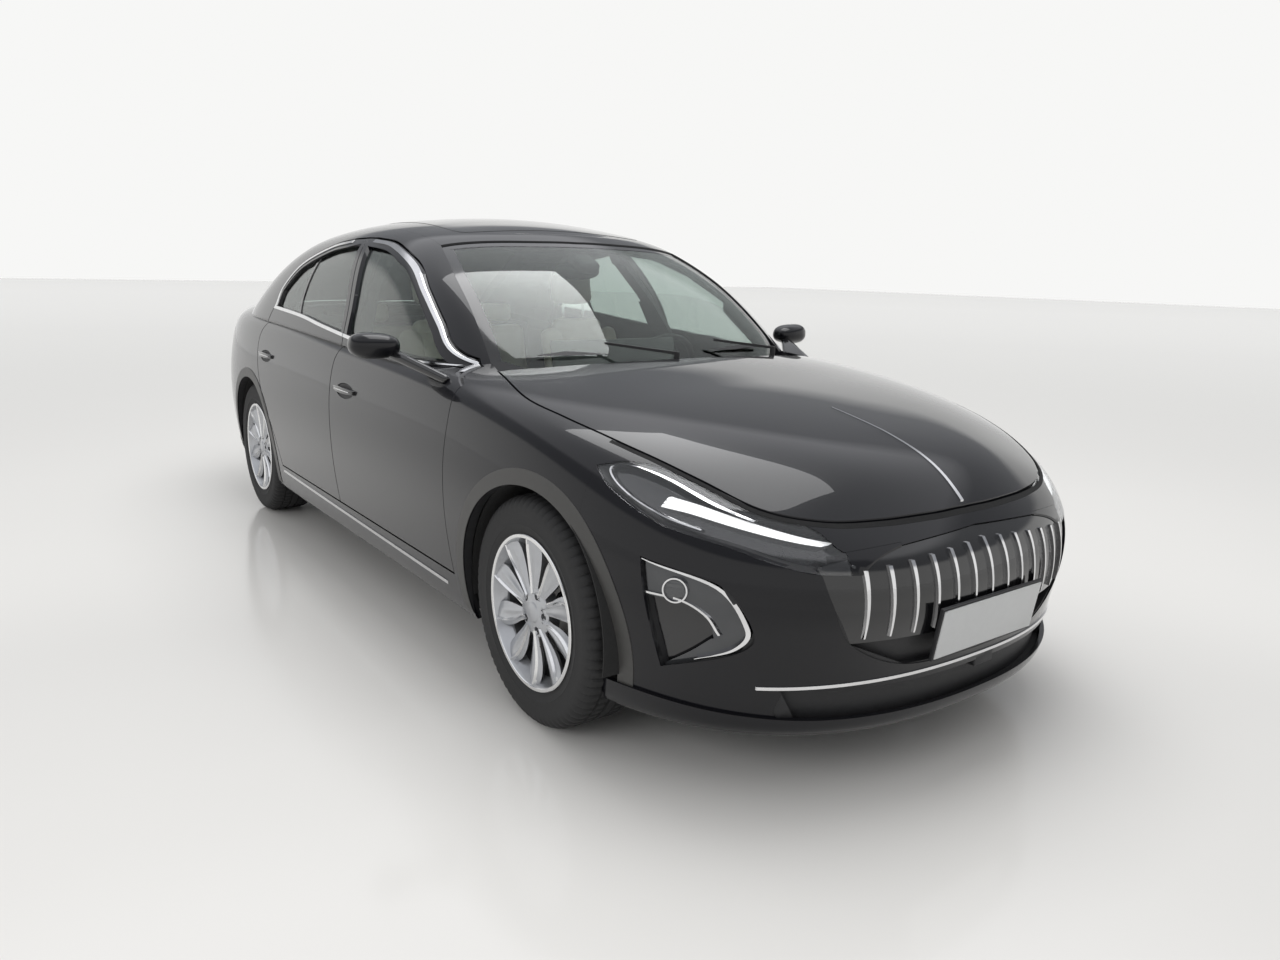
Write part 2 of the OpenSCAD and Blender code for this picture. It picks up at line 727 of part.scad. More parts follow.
// Ends of the blades and the posts of their arms, in plan
wiper_blades = [[[985, 520], [1070, -40]], [[1066, -20], [985, -540]]];
wiper_posts = [[1100, 490], [1165, -60]];
module wiper_arm(p, q) {
    translate([p[0], p[1], 960]) cylinder(r = 11, h = 100, $fn = 24);
    hull() {
        translate([p[0], p[1], 1050]) cylinder(r = 9, h = 10, $fn = 16);
        translate([q[0], q[1], 1082]) cylinder(r = 6, h = 8, $fn = 16);
    }
}
module trunk_tub() {
    color(dark) sheet() union() {
        box(-2340, -1160, -606, 606, 450, 462);
        both() box(-2340, -1160, -618, -606, 450, 660);
        both() box(-2285, -1160, -618, -606, 650, 940);
        box(-2340, -2328, -606, 606, 450, 660);
        box(-1172, -1160, -618, 618, 450, 1030);
        box(-1960, -1160, -618, 618, 1018, 1030);
        both() box(-1975, -1960, -618, -400, 930, 1030);
        both() for (s = [-1, 1]) box(-1995, -1950, -480 + s * 20.3 - 5, -480 + s * 20.3 + 5, 1018, 1040);
        both() lid_cheeks(lid_pin, -480, 1020);
        difference() {
            intersection() {
                difference() {
                    union() {
                        tub_solid(panel_t + 10);
                        cabin_solid(panel_t + 4);
                    }
                    tub_solid(panel_t + 22);
                    cabin_solid(panel_t + 16);
                }
                plan_prism(deck_edge, 6, 1000);
            }
            both() box(-2100, -1955, -514, -446, 900, 1200);
        }
        intersection() {
            union() {
                tub_solid(panel_t + 14);
                cabin_solid(panel_t + 8);
            }
            for (y = [-320, 0, 320]) box(-2000, -1950, y - 15, y + 15, 1018, 1180);
        }
    }
}

module mirror_housing() {
    color(black) sheet() difference() {
        union() {
            hull() {
                translate([655, -1030, 1070]) scale([0.7, 1, 0.62]) sphere(r = 78, $fn = 14);
                translate([690, -960, 1062]) scale([0.6, 0.5, 0.6]) sphere(r = 66, $fn = 10);
            }
            hull() {
                translate([700, -960, 1040]) sphere(r = 20, $fn = 8);
                translate([930, -872, 972]) sphere(r = 18, $fn = 8);
                translate([800, -872, 982]) sphere(r = 18, $fn = 8);
            }
        }
        tub_solid(-seam);
        cabin_solid(-seam);
    }
}
module arch_liners() {
    color(dark) both() {
        difference() {
            liner(axle_f, 492);
            translate([axle_f + damper, 560, tyre_r]) cylinder(r = 62, h = 600, $fn = 48);
        }
        liner(axle_r, 640);
    }
}
module liner(x, y0) {
    translate([x, y0, tyre_r]) rotate([-90, 0, 0]) difference() {
        cylinder(r = arch_r + 6, h = liner_end - y0, $fn = 64);
        translate([0, 0, -1]) cylinder(r = arch_r + 2, h = 920 - y0, $fn = 64);
        translate([-500, 60, -1]) cube([1000, 500, 920 - y0]);
    }
}
jack_r = 11;
floor_y = 812;
module floor_pan() {
    color(dark) {
        difference() {
            union() {
                box(-1150, 1119.7, -floor_y, floor_y, 300, 322);
                both() {
                    box(1100, 2200, 340, 420, 300, 380);
                    box(-2300, -1140, 440, 520, 322, 449.7);
                }
                box(2180, 2250, -520, 520, 335, 420);
                box(-2345, -2290, -520, 520, 322, 449.7);
            }
            arch_cuts();
            left() arch_cuts();
            // room for the drive shafts
            both() box(axle_f - 26, axle_f + 26, 330, 430, 328, 400);
            for (x = [-750, 950]) for (y = [-720, 720]) translate([x, y, 250]) cylinder(r = jack_r, h = 100, $fn = 32);
        }
    }
}
module dashboard() {
    color(dark) {
        difference() {
            translate([0, 690, 0]) rotate([90, 0, 0]) linear_extrude(1380)
                polygon([[1119.7, 700], [1119.7, 925], [1010, 972], [860, 985], [700, 960], [640, 900], [660, 820],
                         [760, 700], [820, 640], [1000, 640]]);
            plan_prism(cowl_edge, 32, 900);
        }
        box(-260, 760, -100, 100, 322.3, 600);
        translate([500, 370, 896]) rotate([0, 180 - wheel_tilt, 0]) translate([0, 0, 50.3]) cylinder(r = 32, h = 170, $fn = 32);
    }
}
wheel_tilt = 68;
module steering_wheel() {
    color(dark) translate([500, 370, 896]) rotate([0, -wheel_tilt, 0]) {
        rotate_extrude($fn = 48) translate([180, 0]) circle(r = 14, $fn = 12);
        cylinder(r = 62, h = 30, center = true, $fn = 32);
        translate([0, 0, -50]) cylinder(r = 22, h = 50, $fn = 32);
        translate([-14, -172, -9]) cube([28, 344, 18]);
        translate([0, -14, -9]) cube([172, 28, 18]);
    }
}
module seat(y) {
    translate([0, y, 0]) {
        hull() {
            for (x = [-20, 400]) for (w = [-220, 220]) translate([x, w, 470]) sphere(r = 40, $fn = 8);
            for (x = [-20, 430]) for (w = [-200, 200]) translate([x, w, 530]) sphere(r = 34, $fn = 8);
        }
        hull() {
            for (w = [-200, 200]) translate([-60, w, 560]) sphere(r = 50, $fn = 8);
            for (w = [-170, 170]) translate([-230, w, 1120]) sphere(r = 34, $fn = 8);
        }
        hull() for (w = [-90, 90]) for (z = [1200, 1310]) translate([-262, w, z]) sphere(r = 38, $fn = 8);
        for (w = [-60, 60]) translate([-243, w, 1110]) cylinder(r = 7, h = 70, $fn = 16);
        box(-40, 420, -200, 200, 322.3, 450);
    }
}
module front_seats() {
    color(cream) both() seat(370);
}
module rear_bench() {
    color(cream) {
        hull() {
            for (x = [-900, -520]) for (w = [-600, 600]) translate([x, w, 450]) sphere(r = 40, $fn = 8);
            for (x = [-900, -490]) for (w = [-590, 590]) translate([x, w, 520]) sphere(r = 34, $fn = 8);
        }
        hull() {
            for (w = [-550, 550]) translate([-970, w, 540]) sphere(r = 56, $fn = 8);
            for (w = [-540, 540]) translate([-1105, w, 1010]) sphere(r = 34, $fn = 8);
        }
        for (y = [-370, 370]) hull() for (w = [-90, 90]) for (z = [1060, 1130])
            translate([-1120, y + w, z]) sphere(r = 34, $fn = 8);
        box(-940, -500, -560, 560, 322.3, 430);
    }
}
module drive_unit() {
    color(steel) box(1400, 1780, -290, 290, 215.3, 520);
}
module battery_pack() {
    color(dark) box(-950, 1000, -640, 640, 195, 299.7);
}

// Wheels, axles and arms
hub_y = wheel_y + 55;
disc_y = wheel_y - 30;
stub_r = 22;
ball_r = 12;
low_arm = 205;
high_arm = 500;
damper = 66;
module tyre_at(x, y) {
    color(dark) translate([x, y, tyre_r]) rotate([90, 0, 0]) rotate_extrude($fn = 96)
        polygon([[rim_r - 8, -98], [rim_r + 2, -101], [rim_r + 20, -108], [rim_r + 50, -tyre_w / 2],
                 [tyre_r - 24, -tyre_w / 2 + 8], [tyre_r - 8, -92], [tyre_r, -66], [tyre_r, 66],
                 [tyre_r - 8, 92], [tyre_r - 24, tyre_w / 2 - 8], [rim_r + 50, tyre_w / 2], [rim_r + 20, 108],
                 [rim_r + 2, 101], [rim_r - 8, 98], [rim_r - 8, 84], [rim_r + 16, 88], [rim_r + 50, 100],
                 [tyre_r - 30, 94], [tyre_r - 16, 76], [tyre_r - 16, -76], [tyre_r - 30, -94],
                 [rim_r + 50, -100], [rim_r + 16, -88], [rim_r - 8, -84]]);
}
// The outer face of the rim looks along +Y
module rim_at(x, y) {
    color(silver) translate([x, y, tyre_r]) rotate([-90, 0, 0]) difference() {
        union() {
            rotate_extrude($fn = 96)
                polygon([[rim_r - 18, -108], [rim_r + 1, -108], [rim_r + 1, -101.3], [rim_r - 8.3, -98],
                         [rim_r - 8.3, -80], [rim_r - 26, -60], [rim_r - 26, 60], [rim_r - 8.3, 80],
                         [rim_r - 8.3, 98], [rim_r + 1, 101.3], [rim_r + 1, 108], [rim_r - 12, 108],
                         [rim_r - 18, 90], [rim_r - 34, 66], [rim_r - 34, -64], [rim_r - 18, -84]]);
            for (i = [0:spokes - 1]) rotate([0, 0, i * 360 / spokes]) translate([0, 0, 74]) linear_extrude(20)
                polygon([[48, -20], [130, -22], [rim_r - 24, -13], [rim_r - 24, 13], [130, 22], [48, 20]]);
            translate([0, 0, hub_y - wheel_y - 20]) cylinder(r = 74, h = 56, $fn = 48);
            translate([0, 0, -16]) cylinder(r = 76, h = 60, $fn = 48);
            translate([0, 0, -30]) cylinder(r = 165, h = 26, $fn = 72);
        }
        translate([0, 0, -40]) cylinder(r = stub_r + fit, h = 118, $fn = 48);
        for (i = [0:4]) rotate([0, 0, i * 72]) translate([57, 0, 62]) cylinder(r = 9, h = 60, $fn = 32);
    }
}
module stub(x, y0) {
    translate([x, y0, tyre_r]) rotate([-90, 0, 0]) cylinder(r = stub_r, h = wheel_y + 74 - y0, $fn = 48);
}
// Bored for a ball pin from below and from above
module knuckle() {
    color(steel) difference() {
        union() {
            translate([axle_f, 710, 0]) rotate([-90, 0, 0]) linear_extrude(62)
                polygon([[-40, -low_arm - 16], [40, -low_arm - 16], [62, -tyre_r + 40], [62, -tyre_r - 40],
                         [36, -high_arm + 16], [-36, -high_arm + 16], [-62, -tyre_r - 40], [-62, -tyre_r + 40]]);
            stub(axle_f, 740);
            box(axle_f - 170, axle_f - 40, 712, 736, tyre_r - 45, tyre_r + 45);
            difference() {
                box(axle_f - 186, axle_f - 100, 730, 815, tyre_r - 60, tyre_r + 60);
                translate([axle_f, 779, tyre_r]) rotate([-90, 0, 0]) cylinder(r = 169, h = 32, $fn = 72);
                box(axle_f - 102, axle_f - 90, 700, 820, 200, 500);
            }
        }
        translate([axle_f, pin_y, 100]) cylinder(r = ball_r + fit, h = low_arm + 60 - 100, $fn = 32);
        translate([axle_f, pin_y, high_arm - 60]) cylinder(r = ball_r + fit, h = 100, $fn = 32);
    }
}
module arm(x, z, h, y0, spread) {
    translate([x, pin_y, z]) cylinder(r = 22, h = h, $fn = 32);
    for (s = [-1, 1]) {
        translate([x + s * spread, y0, z]) cylinder(r = 16, h = h, $fn = 32);
        translate([x, 0, z]) linear_extrude(h)
            polygon([[0, pin_y + 18], [s * 16, pin_y + 10], [s * (spread + 14), y0], [s * (spread - 14), y0]]);
    }
}
module front_suspension() {
    color(dark) {
        box(axle_f - 150, axle_f + 150, -330, 330, 180, 215);
        both() {
            for (x = [-130, 130]) box(axle_f + x - 25, axle_f + x + 25, 318, 350, 180, 299.7);
            arm(axle_f, low_arm - 22, 20, 335, 120);
            translate([axle_f, pin_y, low_arm - 22]) cylinder(r = ball_r, h = 75, $fn = 32);
            arm(axle_f, high_arm + 1, 16, 480, 100);
            translate([axle_f, pin_y, high_arm - 50]) cylinder(r = ball_r, h = 60, $fn = 32);
            translate([axle_f + damper, 560, low_arm - 22]) cylinder(r = 24, h = 570, $fn = 32);
            box(axle_f - 70, axle_f + 95, 520, 600, low_arm - 22, low_arm + 10);
            translate([axle_f + damper, 560, 395]) cylinder(r = 46, h = 325, $fn = 32);
            box(axle_f - 60, axle_f + 115, 430, 620, 746, 766);
            for (x = [-118, 90]) box(axle_f + x, axle_f + x + 28, 424, 450, 385, 755);
            box(axle_f - 122, axle_f + 122, 420, 453, 742, 762);
            for (x = [-116, 92]) box(axle_f + x, axle_f + x + 24, 440, 495, high_arm - 6, high_arm + 20);
            box(axle_f - 124, axle_f + 124, 360, 452, 380.3, 400);
            translate([axle_f, 290.3, tyre_r]) rotate([-90, 0, 0]) cylinder(r = 16, h = 360, $fn = 32);
            translate([axle_f, 590, tyre_r]) rotate([-90, 0, 0]) cylinder(r = 38, h = 66, $fn = 32);
        }
    }
}
module rear_suspension() {
    color(dark) {
        box(axle_r - 60, axle_r + 60, -430, 430, 240, 320);
        both() {
            box(axle_r - 60, axle_r + 60, 640, 700, tyre_r - 130, tyre_r + 130);
            stub(axle_r, 690);
            box(axle_r - 20, axle_r + 20, 425, 645, 246, 276);
            box(axle_r - 22, axle_r + 22, 520.3, 645, 405, 435);
            difference() {
                box(axle_r - 186, axle_r - 100, 690, 815, tyre_r - 60, tyre_r + 60);
                translate([axle_r, 779, tyre_r]) rotate([-90, 0, 0]) cylinder(r = 169, h = 32, $fn = 72);
                box(axle_r - 102, axle_r - 90, 700, 820, 200, 500);
            }
            box(axle_r - 150, axle_r, 690, 712, tyre_r - 45, tyre_r + 45);
            translate([axle_r - 20, 580, 276]) cylinder(r = 42, h = 173.7, $fn = 32);
            box(axle_r - 60, axle_r + 20, 545, 605, 246, 276);
            box(axle_r - 55, axle_r + 55, 425, 470, 320, 321.7);
        }
    }
}

floor_pan();
left() body_side();  // body_side_left
body_side();  // body_side_right
roof();
cowl();
trunk_tub();
left() fender();  // fender_left
fender();  // fender_right
hood();
trunk_lid();
front_bumper();
rear_bumper();
grille();
front_lamps();
tail_lamps();
windows();
left() front_door();  // front_door_left
front_door();  // front_door_right
left() rear_door();  // rear_door_left
rear_door();  // rear_door_right
left() door_glass(front_door_line);  // front_glass_left
door_glass(front_door_line);  // front_glass_right
left() door_glass(rear_door_line);  // rear_glass_left
door_glass(rear_door_line);  // rear_glass_right
left() mirror_housing();  // mirror_left
mirror_housing();  // mirror_right
wipers();
arch_liners();
dashboard();
steering_wheel();
front_seats();
rear_bench();
drive_unit();
battery_pack();
front_suspension();
rear_suspension();
knuckle();  // knuckle_left
left() knuckle();  // knuckle_right
tyre_at(axle_f, wheel_y);  // tyre_front_left
tyre_at(axle_f, -wheel_y);  // tyre_front_right
tyre_at(axle_r, wheel_y);  // tyre_rear_left
tyre_at(axle_r, -wheel_y);  // tyre_rear_right
rim_at(axle_f, wheel_y);  // rim_front_left
left() rim_at(axle_f, wheel_y);  // rim_front_right
rim_at(axle_r, wheel_y);  // rim_rear_left
left() rim_at(axle_r, wheel_y);  // rim_rear_right
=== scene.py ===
import math

import bpy
import numpy as np
from mathutils import Matrix, Vector
from mathutils.bvhtree import BVHTree
from mathutils.interpolate import poly_3d_calc


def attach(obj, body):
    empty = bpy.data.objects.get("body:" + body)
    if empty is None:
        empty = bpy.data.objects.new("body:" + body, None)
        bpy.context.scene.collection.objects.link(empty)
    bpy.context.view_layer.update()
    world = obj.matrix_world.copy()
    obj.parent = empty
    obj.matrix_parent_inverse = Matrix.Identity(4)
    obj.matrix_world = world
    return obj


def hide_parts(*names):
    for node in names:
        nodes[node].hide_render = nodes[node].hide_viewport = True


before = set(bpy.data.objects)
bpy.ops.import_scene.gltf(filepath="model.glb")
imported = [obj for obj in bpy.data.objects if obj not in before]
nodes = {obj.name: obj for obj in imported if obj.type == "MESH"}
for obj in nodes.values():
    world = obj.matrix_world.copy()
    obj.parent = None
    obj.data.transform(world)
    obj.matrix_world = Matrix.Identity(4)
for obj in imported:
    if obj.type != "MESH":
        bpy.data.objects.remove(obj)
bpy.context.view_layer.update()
bpy.ops.object.select_all(action="DESELECT")

# ---- Studio -------------------------------------------------------------------------------
# The showroom view: a camera at eye height off the right front corner, a plain pale floor,
# and soft light from a bright ceiling, with a broad panel of light above the car.
scene = bpy.context.scene
scene.view_settings.view_transform = "Standard"
yaw, pitch, roll = math.radians(143.58), math.radians(-12.82), math.radians(1.43)
look = Vector((math.cos(pitch) * math.cos(yaw), math.cos(pitch) * math.sin(yaw), math.sin(pitch)))
side = look.cross(Vector((0, 0, 1))).normalized()
up = side.cross(look)
side, up = side * math.cos(roll) + up * math.sin(roll), up * math.cos(roll) - side * math.sin(roll)
bpy.ops.object.camera_add(location=(3.8533, -2.1971, 1.3538))
camera = bpy.context.object
camera.rotation_euler = Matrix((side, up, -look)).transposed().to_euler()
camera.data.sensor_width = 36
camera.data.lens = 36 * 926.56 / 1280
camera.data.clip_end = 200
scene.camera = camera

bpy.ops.mesh.primitive_plane_add(size=120, location=(0, 0, 0))
floor = bpy.context.object
floor.name = "studio_floor"
bpy.ops.object.transform_apply(location=True, rotation=True, scale=True)
tile = bpy.data.materials.new("pale_floor")
tile.use_nodes = True
skin_node = tile.node_tree.nodes["Principled BSDF"]
skin_node.inputs["Base Color"].default_value = (0.8, 0.79, 0.77, 1)
skin_node.inputs["Roughness"].default_value = 0.13
skin_node.inputs["Specular IOR Level"].default_value = 0.5
floor.data.materials.append(tile)

world = bpy.data.worlds.new("studio_light")
scene.world = world
world.use_nodes = True
wn, wl = world.node_tree.nodes, world.node_tree.links
wn.clear()
coord = wn.new("ShaderNodeTexCoord")
split = wn.new("ShaderNodeSeparateXYZ")
ramp = wn.new("ShaderNodeValToRGB")
back = wn.new("ShaderNodeBackground")
out = wn.new("ShaderNodeOutputWorld")
wl.new(coord.outputs["Generated"], split.inputs[0])
wl.new(split.outputs["Z"], ramp.inputs["Fac"])
wl.new(ramp.outputs["Color"], back.inputs["Color"])
plain = wn.new("ShaderNodeBackground")
hall = wn.new("ShaderNodeValToRGB")
wl.new(split.outputs["Z"], hall.inputs["Fac"])
pale = wn.new("ShaderNodeMix")
pale.data_type = "RGBA"
pale.inputs["B"].default_value = (0.93, 0.93, 0.92, 1)
wl.new(hall.outputs["Color"], pale.inputs["A"])
wl.new(pale.outputs["Result"], plain.inputs["Color"])
hall.color_ramp.elements[0].position = 0.3
hall.color_ramp.elements[0].color = (0.93, 0.93, 0.92, 1)
hall.color_ramp.elements[1].position = 1.0
hall.color_ramp.elements[1].color = (0.75, 0.77, 0.8, 1)
for level, tint in ((0.34, (0.3, 0.31, 0.33, 1)), (0.52, (0.36, 0.37, 0.39, 1)), (0.58, (0.95, 0.96, 1, 1)),
                    (0.8, (0.9, 0.92, 0.96, 1))):
    hall.color_ramp.elements.new(level).color = tint
ray = wn.new("ShaderNodeLightPath")
seen = wn.new("ShaderNodeMath")
seen.operation = "MAXIMUM"
through = wn.new("ShaderNodeMath")
through.operation = "MAXIMUM"
swap = wn.new("ShaderNodeMixShader")
wl.new(ray.outputs["Is Camera Ray"], seen.inputs[0])
wl.new(ray.outputs["Is Transmission Ray"], seen.inputs[1])
wl.new(seen.outputs[0], pale.inputs["Factor"])
wl.new(seen.outputs[0], through.inputs[0])
wl.new(ray.outputs["Is Glossy Ray"], through.inputs[1])
wl.new(through.outputs[0], swap.inputs["Fac"])
wl.new(back.outputs[0], swap.inputs[1])
wl.new(plain.outputs[0], swap.inputs[2])
wl.new(swap.outputs[0], out.inputs[0])
ramp.color_ramp.elements[0].position = 0.0
ramp.color_ramp.elements[0].color = (0.5, 0.51, 0.53, 1)
ramp.color_ramp.elements[1].position = 0.45
ramp.color_ramp.elements[1].color = (0.95, 0.95, 0.95, 1)
high = ramp.color_ramp.elements.new(0.2)
high.color = (0.66, 0.67, 0.69, 1)
back.inputs["Strength"].default_value = 0.7
for name, place, turn, size, power in (
    ("ceiling_panel", (0.5, 0.5, 5.2), (0, 0, 0), (4.5, 3.2), 160),
    ("side_panel", (2.5, -6.5, 3.4), (math.radians(62), 0, math.radians(10)), (5, 2), 90),
):
    bpy.ops.object.light_add(type="AREA", location=place, rotation=turn)
    lamp = bpy.context.object
    lamp.name = name
    lamp.data.shape = "RECTANGLE"
    lamp.data.size, lamp.data.size_y = size
    lamp.data.energy = power
    lamp.visible_glossy = name != "side_panel"

# ---- Body form ----------------------------------------------------------------------------
# The pressed steel body has two curved forms, the lower body and the cabin above it. Their
# skins follow the same lengths, widths and height lines as the CAD, in millimetres.
wheelbase, front_over, rear_over, body_w, roof_h, sill_z = 2990, 940, 1110, 1910, 1569, 175
half_w = body_w / 2
nose_x = (wheelbase + front_over + rear_over) / 2
tail_x, axle_f = -nose_x, nose_x - front_over
axle_r = axle_f - wheelbase
mid_x = (axle_f + axle_r) / 2
tyre_r, wheel_y = 352, 812


def st(s):
    """x of a station: 0 the tail, 1 the rear axle, 2 the front axle, 3 the nose"""
    return np.interp(s, [0, 1, 2, 3], [tail_x, axle_r, axle_f, nose_x])


def line(table, x):
    """A smooth curve through [x, value] points"""
    xs, vs = np.array(table, float).T
    x = np.clip(x, xs[0], xs[-1])
    i = np.clip(np.searchsorted(xs, x, "right") - 1, 0, len(xs) - 2)
    lo, hi = np.maximum(np.arange(len(xs)) - 1, 0), np.minimum(np.arange(len(xs)) + 1, len(xs) - 1)
    slope = (vs[hi] - vs[lo]) / (xs[hi] - xs[lo])
    h = xs[i + 1] - xs[i]
    s = (x - xs[i]) / h
    return ((2 * s**3 - 3 * s**2 + 1) * vs[i] + (s**3 - 2 * s**2 + s) * h * slope[i]
            + (3 * s**2 - 2 * s**3) * vs[i + 1] + (s**3 - s**2) * h * slope[i + 1])


nose_lean = [[150, 40], [230, 20], [330, 55], [460, 22], [600, 4], [680, 0], [740, 22], [800, 62],
             [950, 150], [1100, 240]]
tail_lean = [[150, 90], [300, 30], [450, 0], [650, 22], [850, 45], [1000, 40], [1100, 10]]
low_line = [[st(0), 60], [st(0.5), 55], [st(1.1), 40], [st(1.85), 40], [st(2.3), 12], [st(3), 0]]
shoulder = [[st(0), 1075], [st(0.25), 1085], [st(0.7), 1085], [st(1.1), 1070], [st(1.5), 1030],
            [st(1.82), 1000], [st(2), 955], [st(2.35), 905], [st(2.65), 840], [st(2.85), 765], [st(3), 690]]
ridge = [[st(0), 1095], [st(0.2), 1130], [st(0.4), 1155], [st(1), 1110], [st(1.5), 1060],
         [st(1.84), 1048], [st(2), 992], [st(2.35), 940], [st(2.65), 880], [st(2.85), 822], [st(3), 740]]
roof_line = [[st(0.37), 400], [st(0.7), 190], [st(0.95), 92], [st(1.1), 50], [st(1.25), 8], [st(1.37), 0],
             [st(1.47), 22], [st(1.57), 84], [st(1.7), 270], [st(1.85), 520]]
side_rows = [[0, 45], [0.06, 26], [0.32, 2], [0.6, -6], [0.87, 28], [1, 85]]
cabin_rows = [[0, 0], [0.2, 0.3], [0.52, 0.68], [1, 1]]
base_f, base_r, top_f, top_r, cab_mid = st(1.85), st(0.37), st(1.57), st(1.1), st(1.33)


def across(e, a, b):
    return np.maximum(1 - e**a, 0) ** (1 / b)


def column_ends(n):
    """Shares of the half length, dense near the ends: signs and shares, from the tail to the nose"""
    u = 1 - (1 - np.linspace(0, 1, n)) ** 2.2
    return np.r_[-np.ones(n - 1), np.ones(n)], np.r_[u[:0:-1], u]


def lower_rows(q, e, off):
    """Control rows of the lower body, from the sill up over the hood or lid to the middle"""
    front = q > 0
    x0 = mid_x + q * e * np.where(front, nose_x - mid_x, mid_x - tail_x)
    low = sill_z + line(low_line, x0)
    h = line(shoulder, x0) - low
    width = np.where(front, across(e, 7, 2.3), across(e, 9, 3))
    rows = []
    for share, inset in side_rows:
        z = low + share * h
        reach = np.where(front, nose_x - line(nose_lean, z) - mid_x, mid_x - tail_x - line(tail_lean, z))
        rows.append(np.stack([mid_x + q * e * (reach - inset - off), -(half_w - inset - off) * width,
                              z - (off if share in (0, 1) else 0)], 1))
    edge = rows[-1]
    cx = np.where(edge[:, 0] > st(2.3), st(2.3) + (edge[:, 0] - st(2.3)) * 0.3, edge[:, 0])
    cx = np.where(edge[:, 0] < st(0.35), st(0.35) + (edge[:, 0] - st(0.35)) * 0.3, cx)
    for r in (0.7, 0.36, 0, -0.36):
        x = cx + (edge[:, 0] - cx) * abs(r)
        top = line(ridge, x)
        rows.append(np.stack([x, edge[:, 1] * r, top - (top - line(shoulder, x)) * r * r - off], 1))
    return np.stack([2 * rows[0] - rows[1], *rows], 1)


def cabin_rows_at(q, e, off):
    """Control rows of the cabin, from below the belt up over the roof to the middle"""
    w = across(e, 9, 2.6)
    front = q > 0
    bx = cab_mid + q * e * (np.where(front, base_f - cab_mid, cab_mid - base_r) - off)
    tx = cab_mid + q * e * (np.where(front, top_f - cab_mid, cab_mid - top_r) - off)
    by, ty = -(half_w - 70 - off) * w, -(655 - off) * w
    bz = line(shoulder, bx) - 45
    drop = roof_h - line(roof_line, tx)
    tz = drop - 70 * w * w - off + 12
    rows = [np.stack([bx, by, bz - (700 if off > 0 else 60)], 1)]
    for a, b in cabin_rows:
        rows.append(np.stack([bx + (tx - bx) * a, by + (ty - by) * a, bz + (tz - bz) * b], 1))
    for r in (0.6, 0.3, 0, -0.3):
        rows.append(np.stack([tx, ty * r, drop - 70 * w * w * r * r - off + 4], 1))
    return np.stack(rows, 1)


def spline(rows, t):
    """Points of a cubic B-spline along each column of rows"""
    i = np.minimum(t.astype(int), rows.shape[1] - 4)
    s = (t - i)[None, :, None]
    return ((1 - s) ** 3 * rows[:, i] + (3 * s**3 - 6 * s**2 + 4) * rows[:, i + 1]
            + (-3 * s**3 + 3 * s**2 + 3 * s + 1) * rows[:, i + 2] + s**3 * rows[:, i + 3]) / 6


def new_solid(name, verts, faces):
    mesh = bpy.data.meshes.new(name)
    mesh.from_pydata([tuple(v) for v in verts], [], faces)
    obj = bpy.data.objects.new(name, mesh)
    scene.collection.objects.link(obj)
    return obj


fine_mesh = {"lower": (84, 72), "cabin": (64, 56)}


def form(which, off, columns=0, steps=0):
    """A closed solid of one of the two forms, off millimetres under its skin; fine unless told"""
    if not columns:
        columns, steps = fine_mesh[which]
    q, e = column_ends(columns)
    rows = (lower_rows if which == "lower" else cabin_rows_at)(q, e, off)
    pts = spline(rows, np.linspace(0, rows.shape[1] - 3, steps))
    nc, nr = pts.shape[:2]
    pts[[0, -1], :, 1] = 0
    pts[:, -1, 1] = 0
    loop = 2 * nc - 2

    def at(k, j):
        m = k % loop
        if m < nc:
            return m * nr + j
        return (loop - m) * nr + j if j == nr - 1 else nc * nr + (m - nc) * (nr - 1) + j

    left = pts[::-1][1:-1, :-1] * [1, -1, 1]
    verts = np.concatenate([pts.reshape(-1, 3), left.reshape(-1, 3)]) / 1000
    faces = [[at(k, j), at(k + 1, j), at(k + 1, j + 1),
              at(k, j + 1)] for k in range(loop) for j in range(nr - 1)]
    faces += [[at(i, 0), at(loop - i, 0), at(loop - i - 1, 0), at(i + 1, 0)] for i in range(1, nc - 2)]
    faces += [[at(0, 0), at(loop - 1, 0), at(1, 0)], [at(nc - 2, 0), at(nc, 0), at(nc - 1, 0)]]
    return new_solid(f"{which}_{off}", verts, faces)


def copy_of(obj, name):
    new = obj.copy()
    new.data = obj.data.copy()
    new.name = name
    scene.collection.objects.link(new)
    return new


def pick(*objs):
    """Only these are selected, and the first of them is active"""
    bpy.ops.object.select_all(action="DESELECT")
    for o in objs:
        o.select_set(True)
    bpy.context.view_layer.objects.active = objs[0]


def finished(obj, kind, **settings):
    """Adds a modifier with its settings to an object and applies it"""
    pick(obj)
    bpy.ops.object.modifier_add(type=kind)
    for key, value in settings.items():
        setattr(obj.modifiers[-1], key, value)
    bpy.ops.object.modifier_apply(modifier=obj.modifiers[-1].name)
    return obj


def settled(width=0, segments=3, **bevel):
    """The primitive just added, with its place in its mesh and its edges rounded"""
    obj = bpy.context.object
    bpy.ops.object.transform_apply(location=True, rotation=True, scale=True)
    return finished(obj, "BEVEL", width=width, segments=segments, **bevel) if width else obj


def carve(obj, other, how="DIFFERENCE", keep=False):
    """Cuts a solid with another, or keeps or adds what they share"""
    pick(obj)
    bpy.ops.object.modifier_add(type="BOOLEAN")
    mod = obj.modifiers[-1]
    mod.operation, mod.object, mod.solver = how, other, "MANIFOLD"
    bpy.ops.object.modifier_apply(modifier=mod.name)
    if not keep:
        bpy.data.objects.remove(other)
    return obj


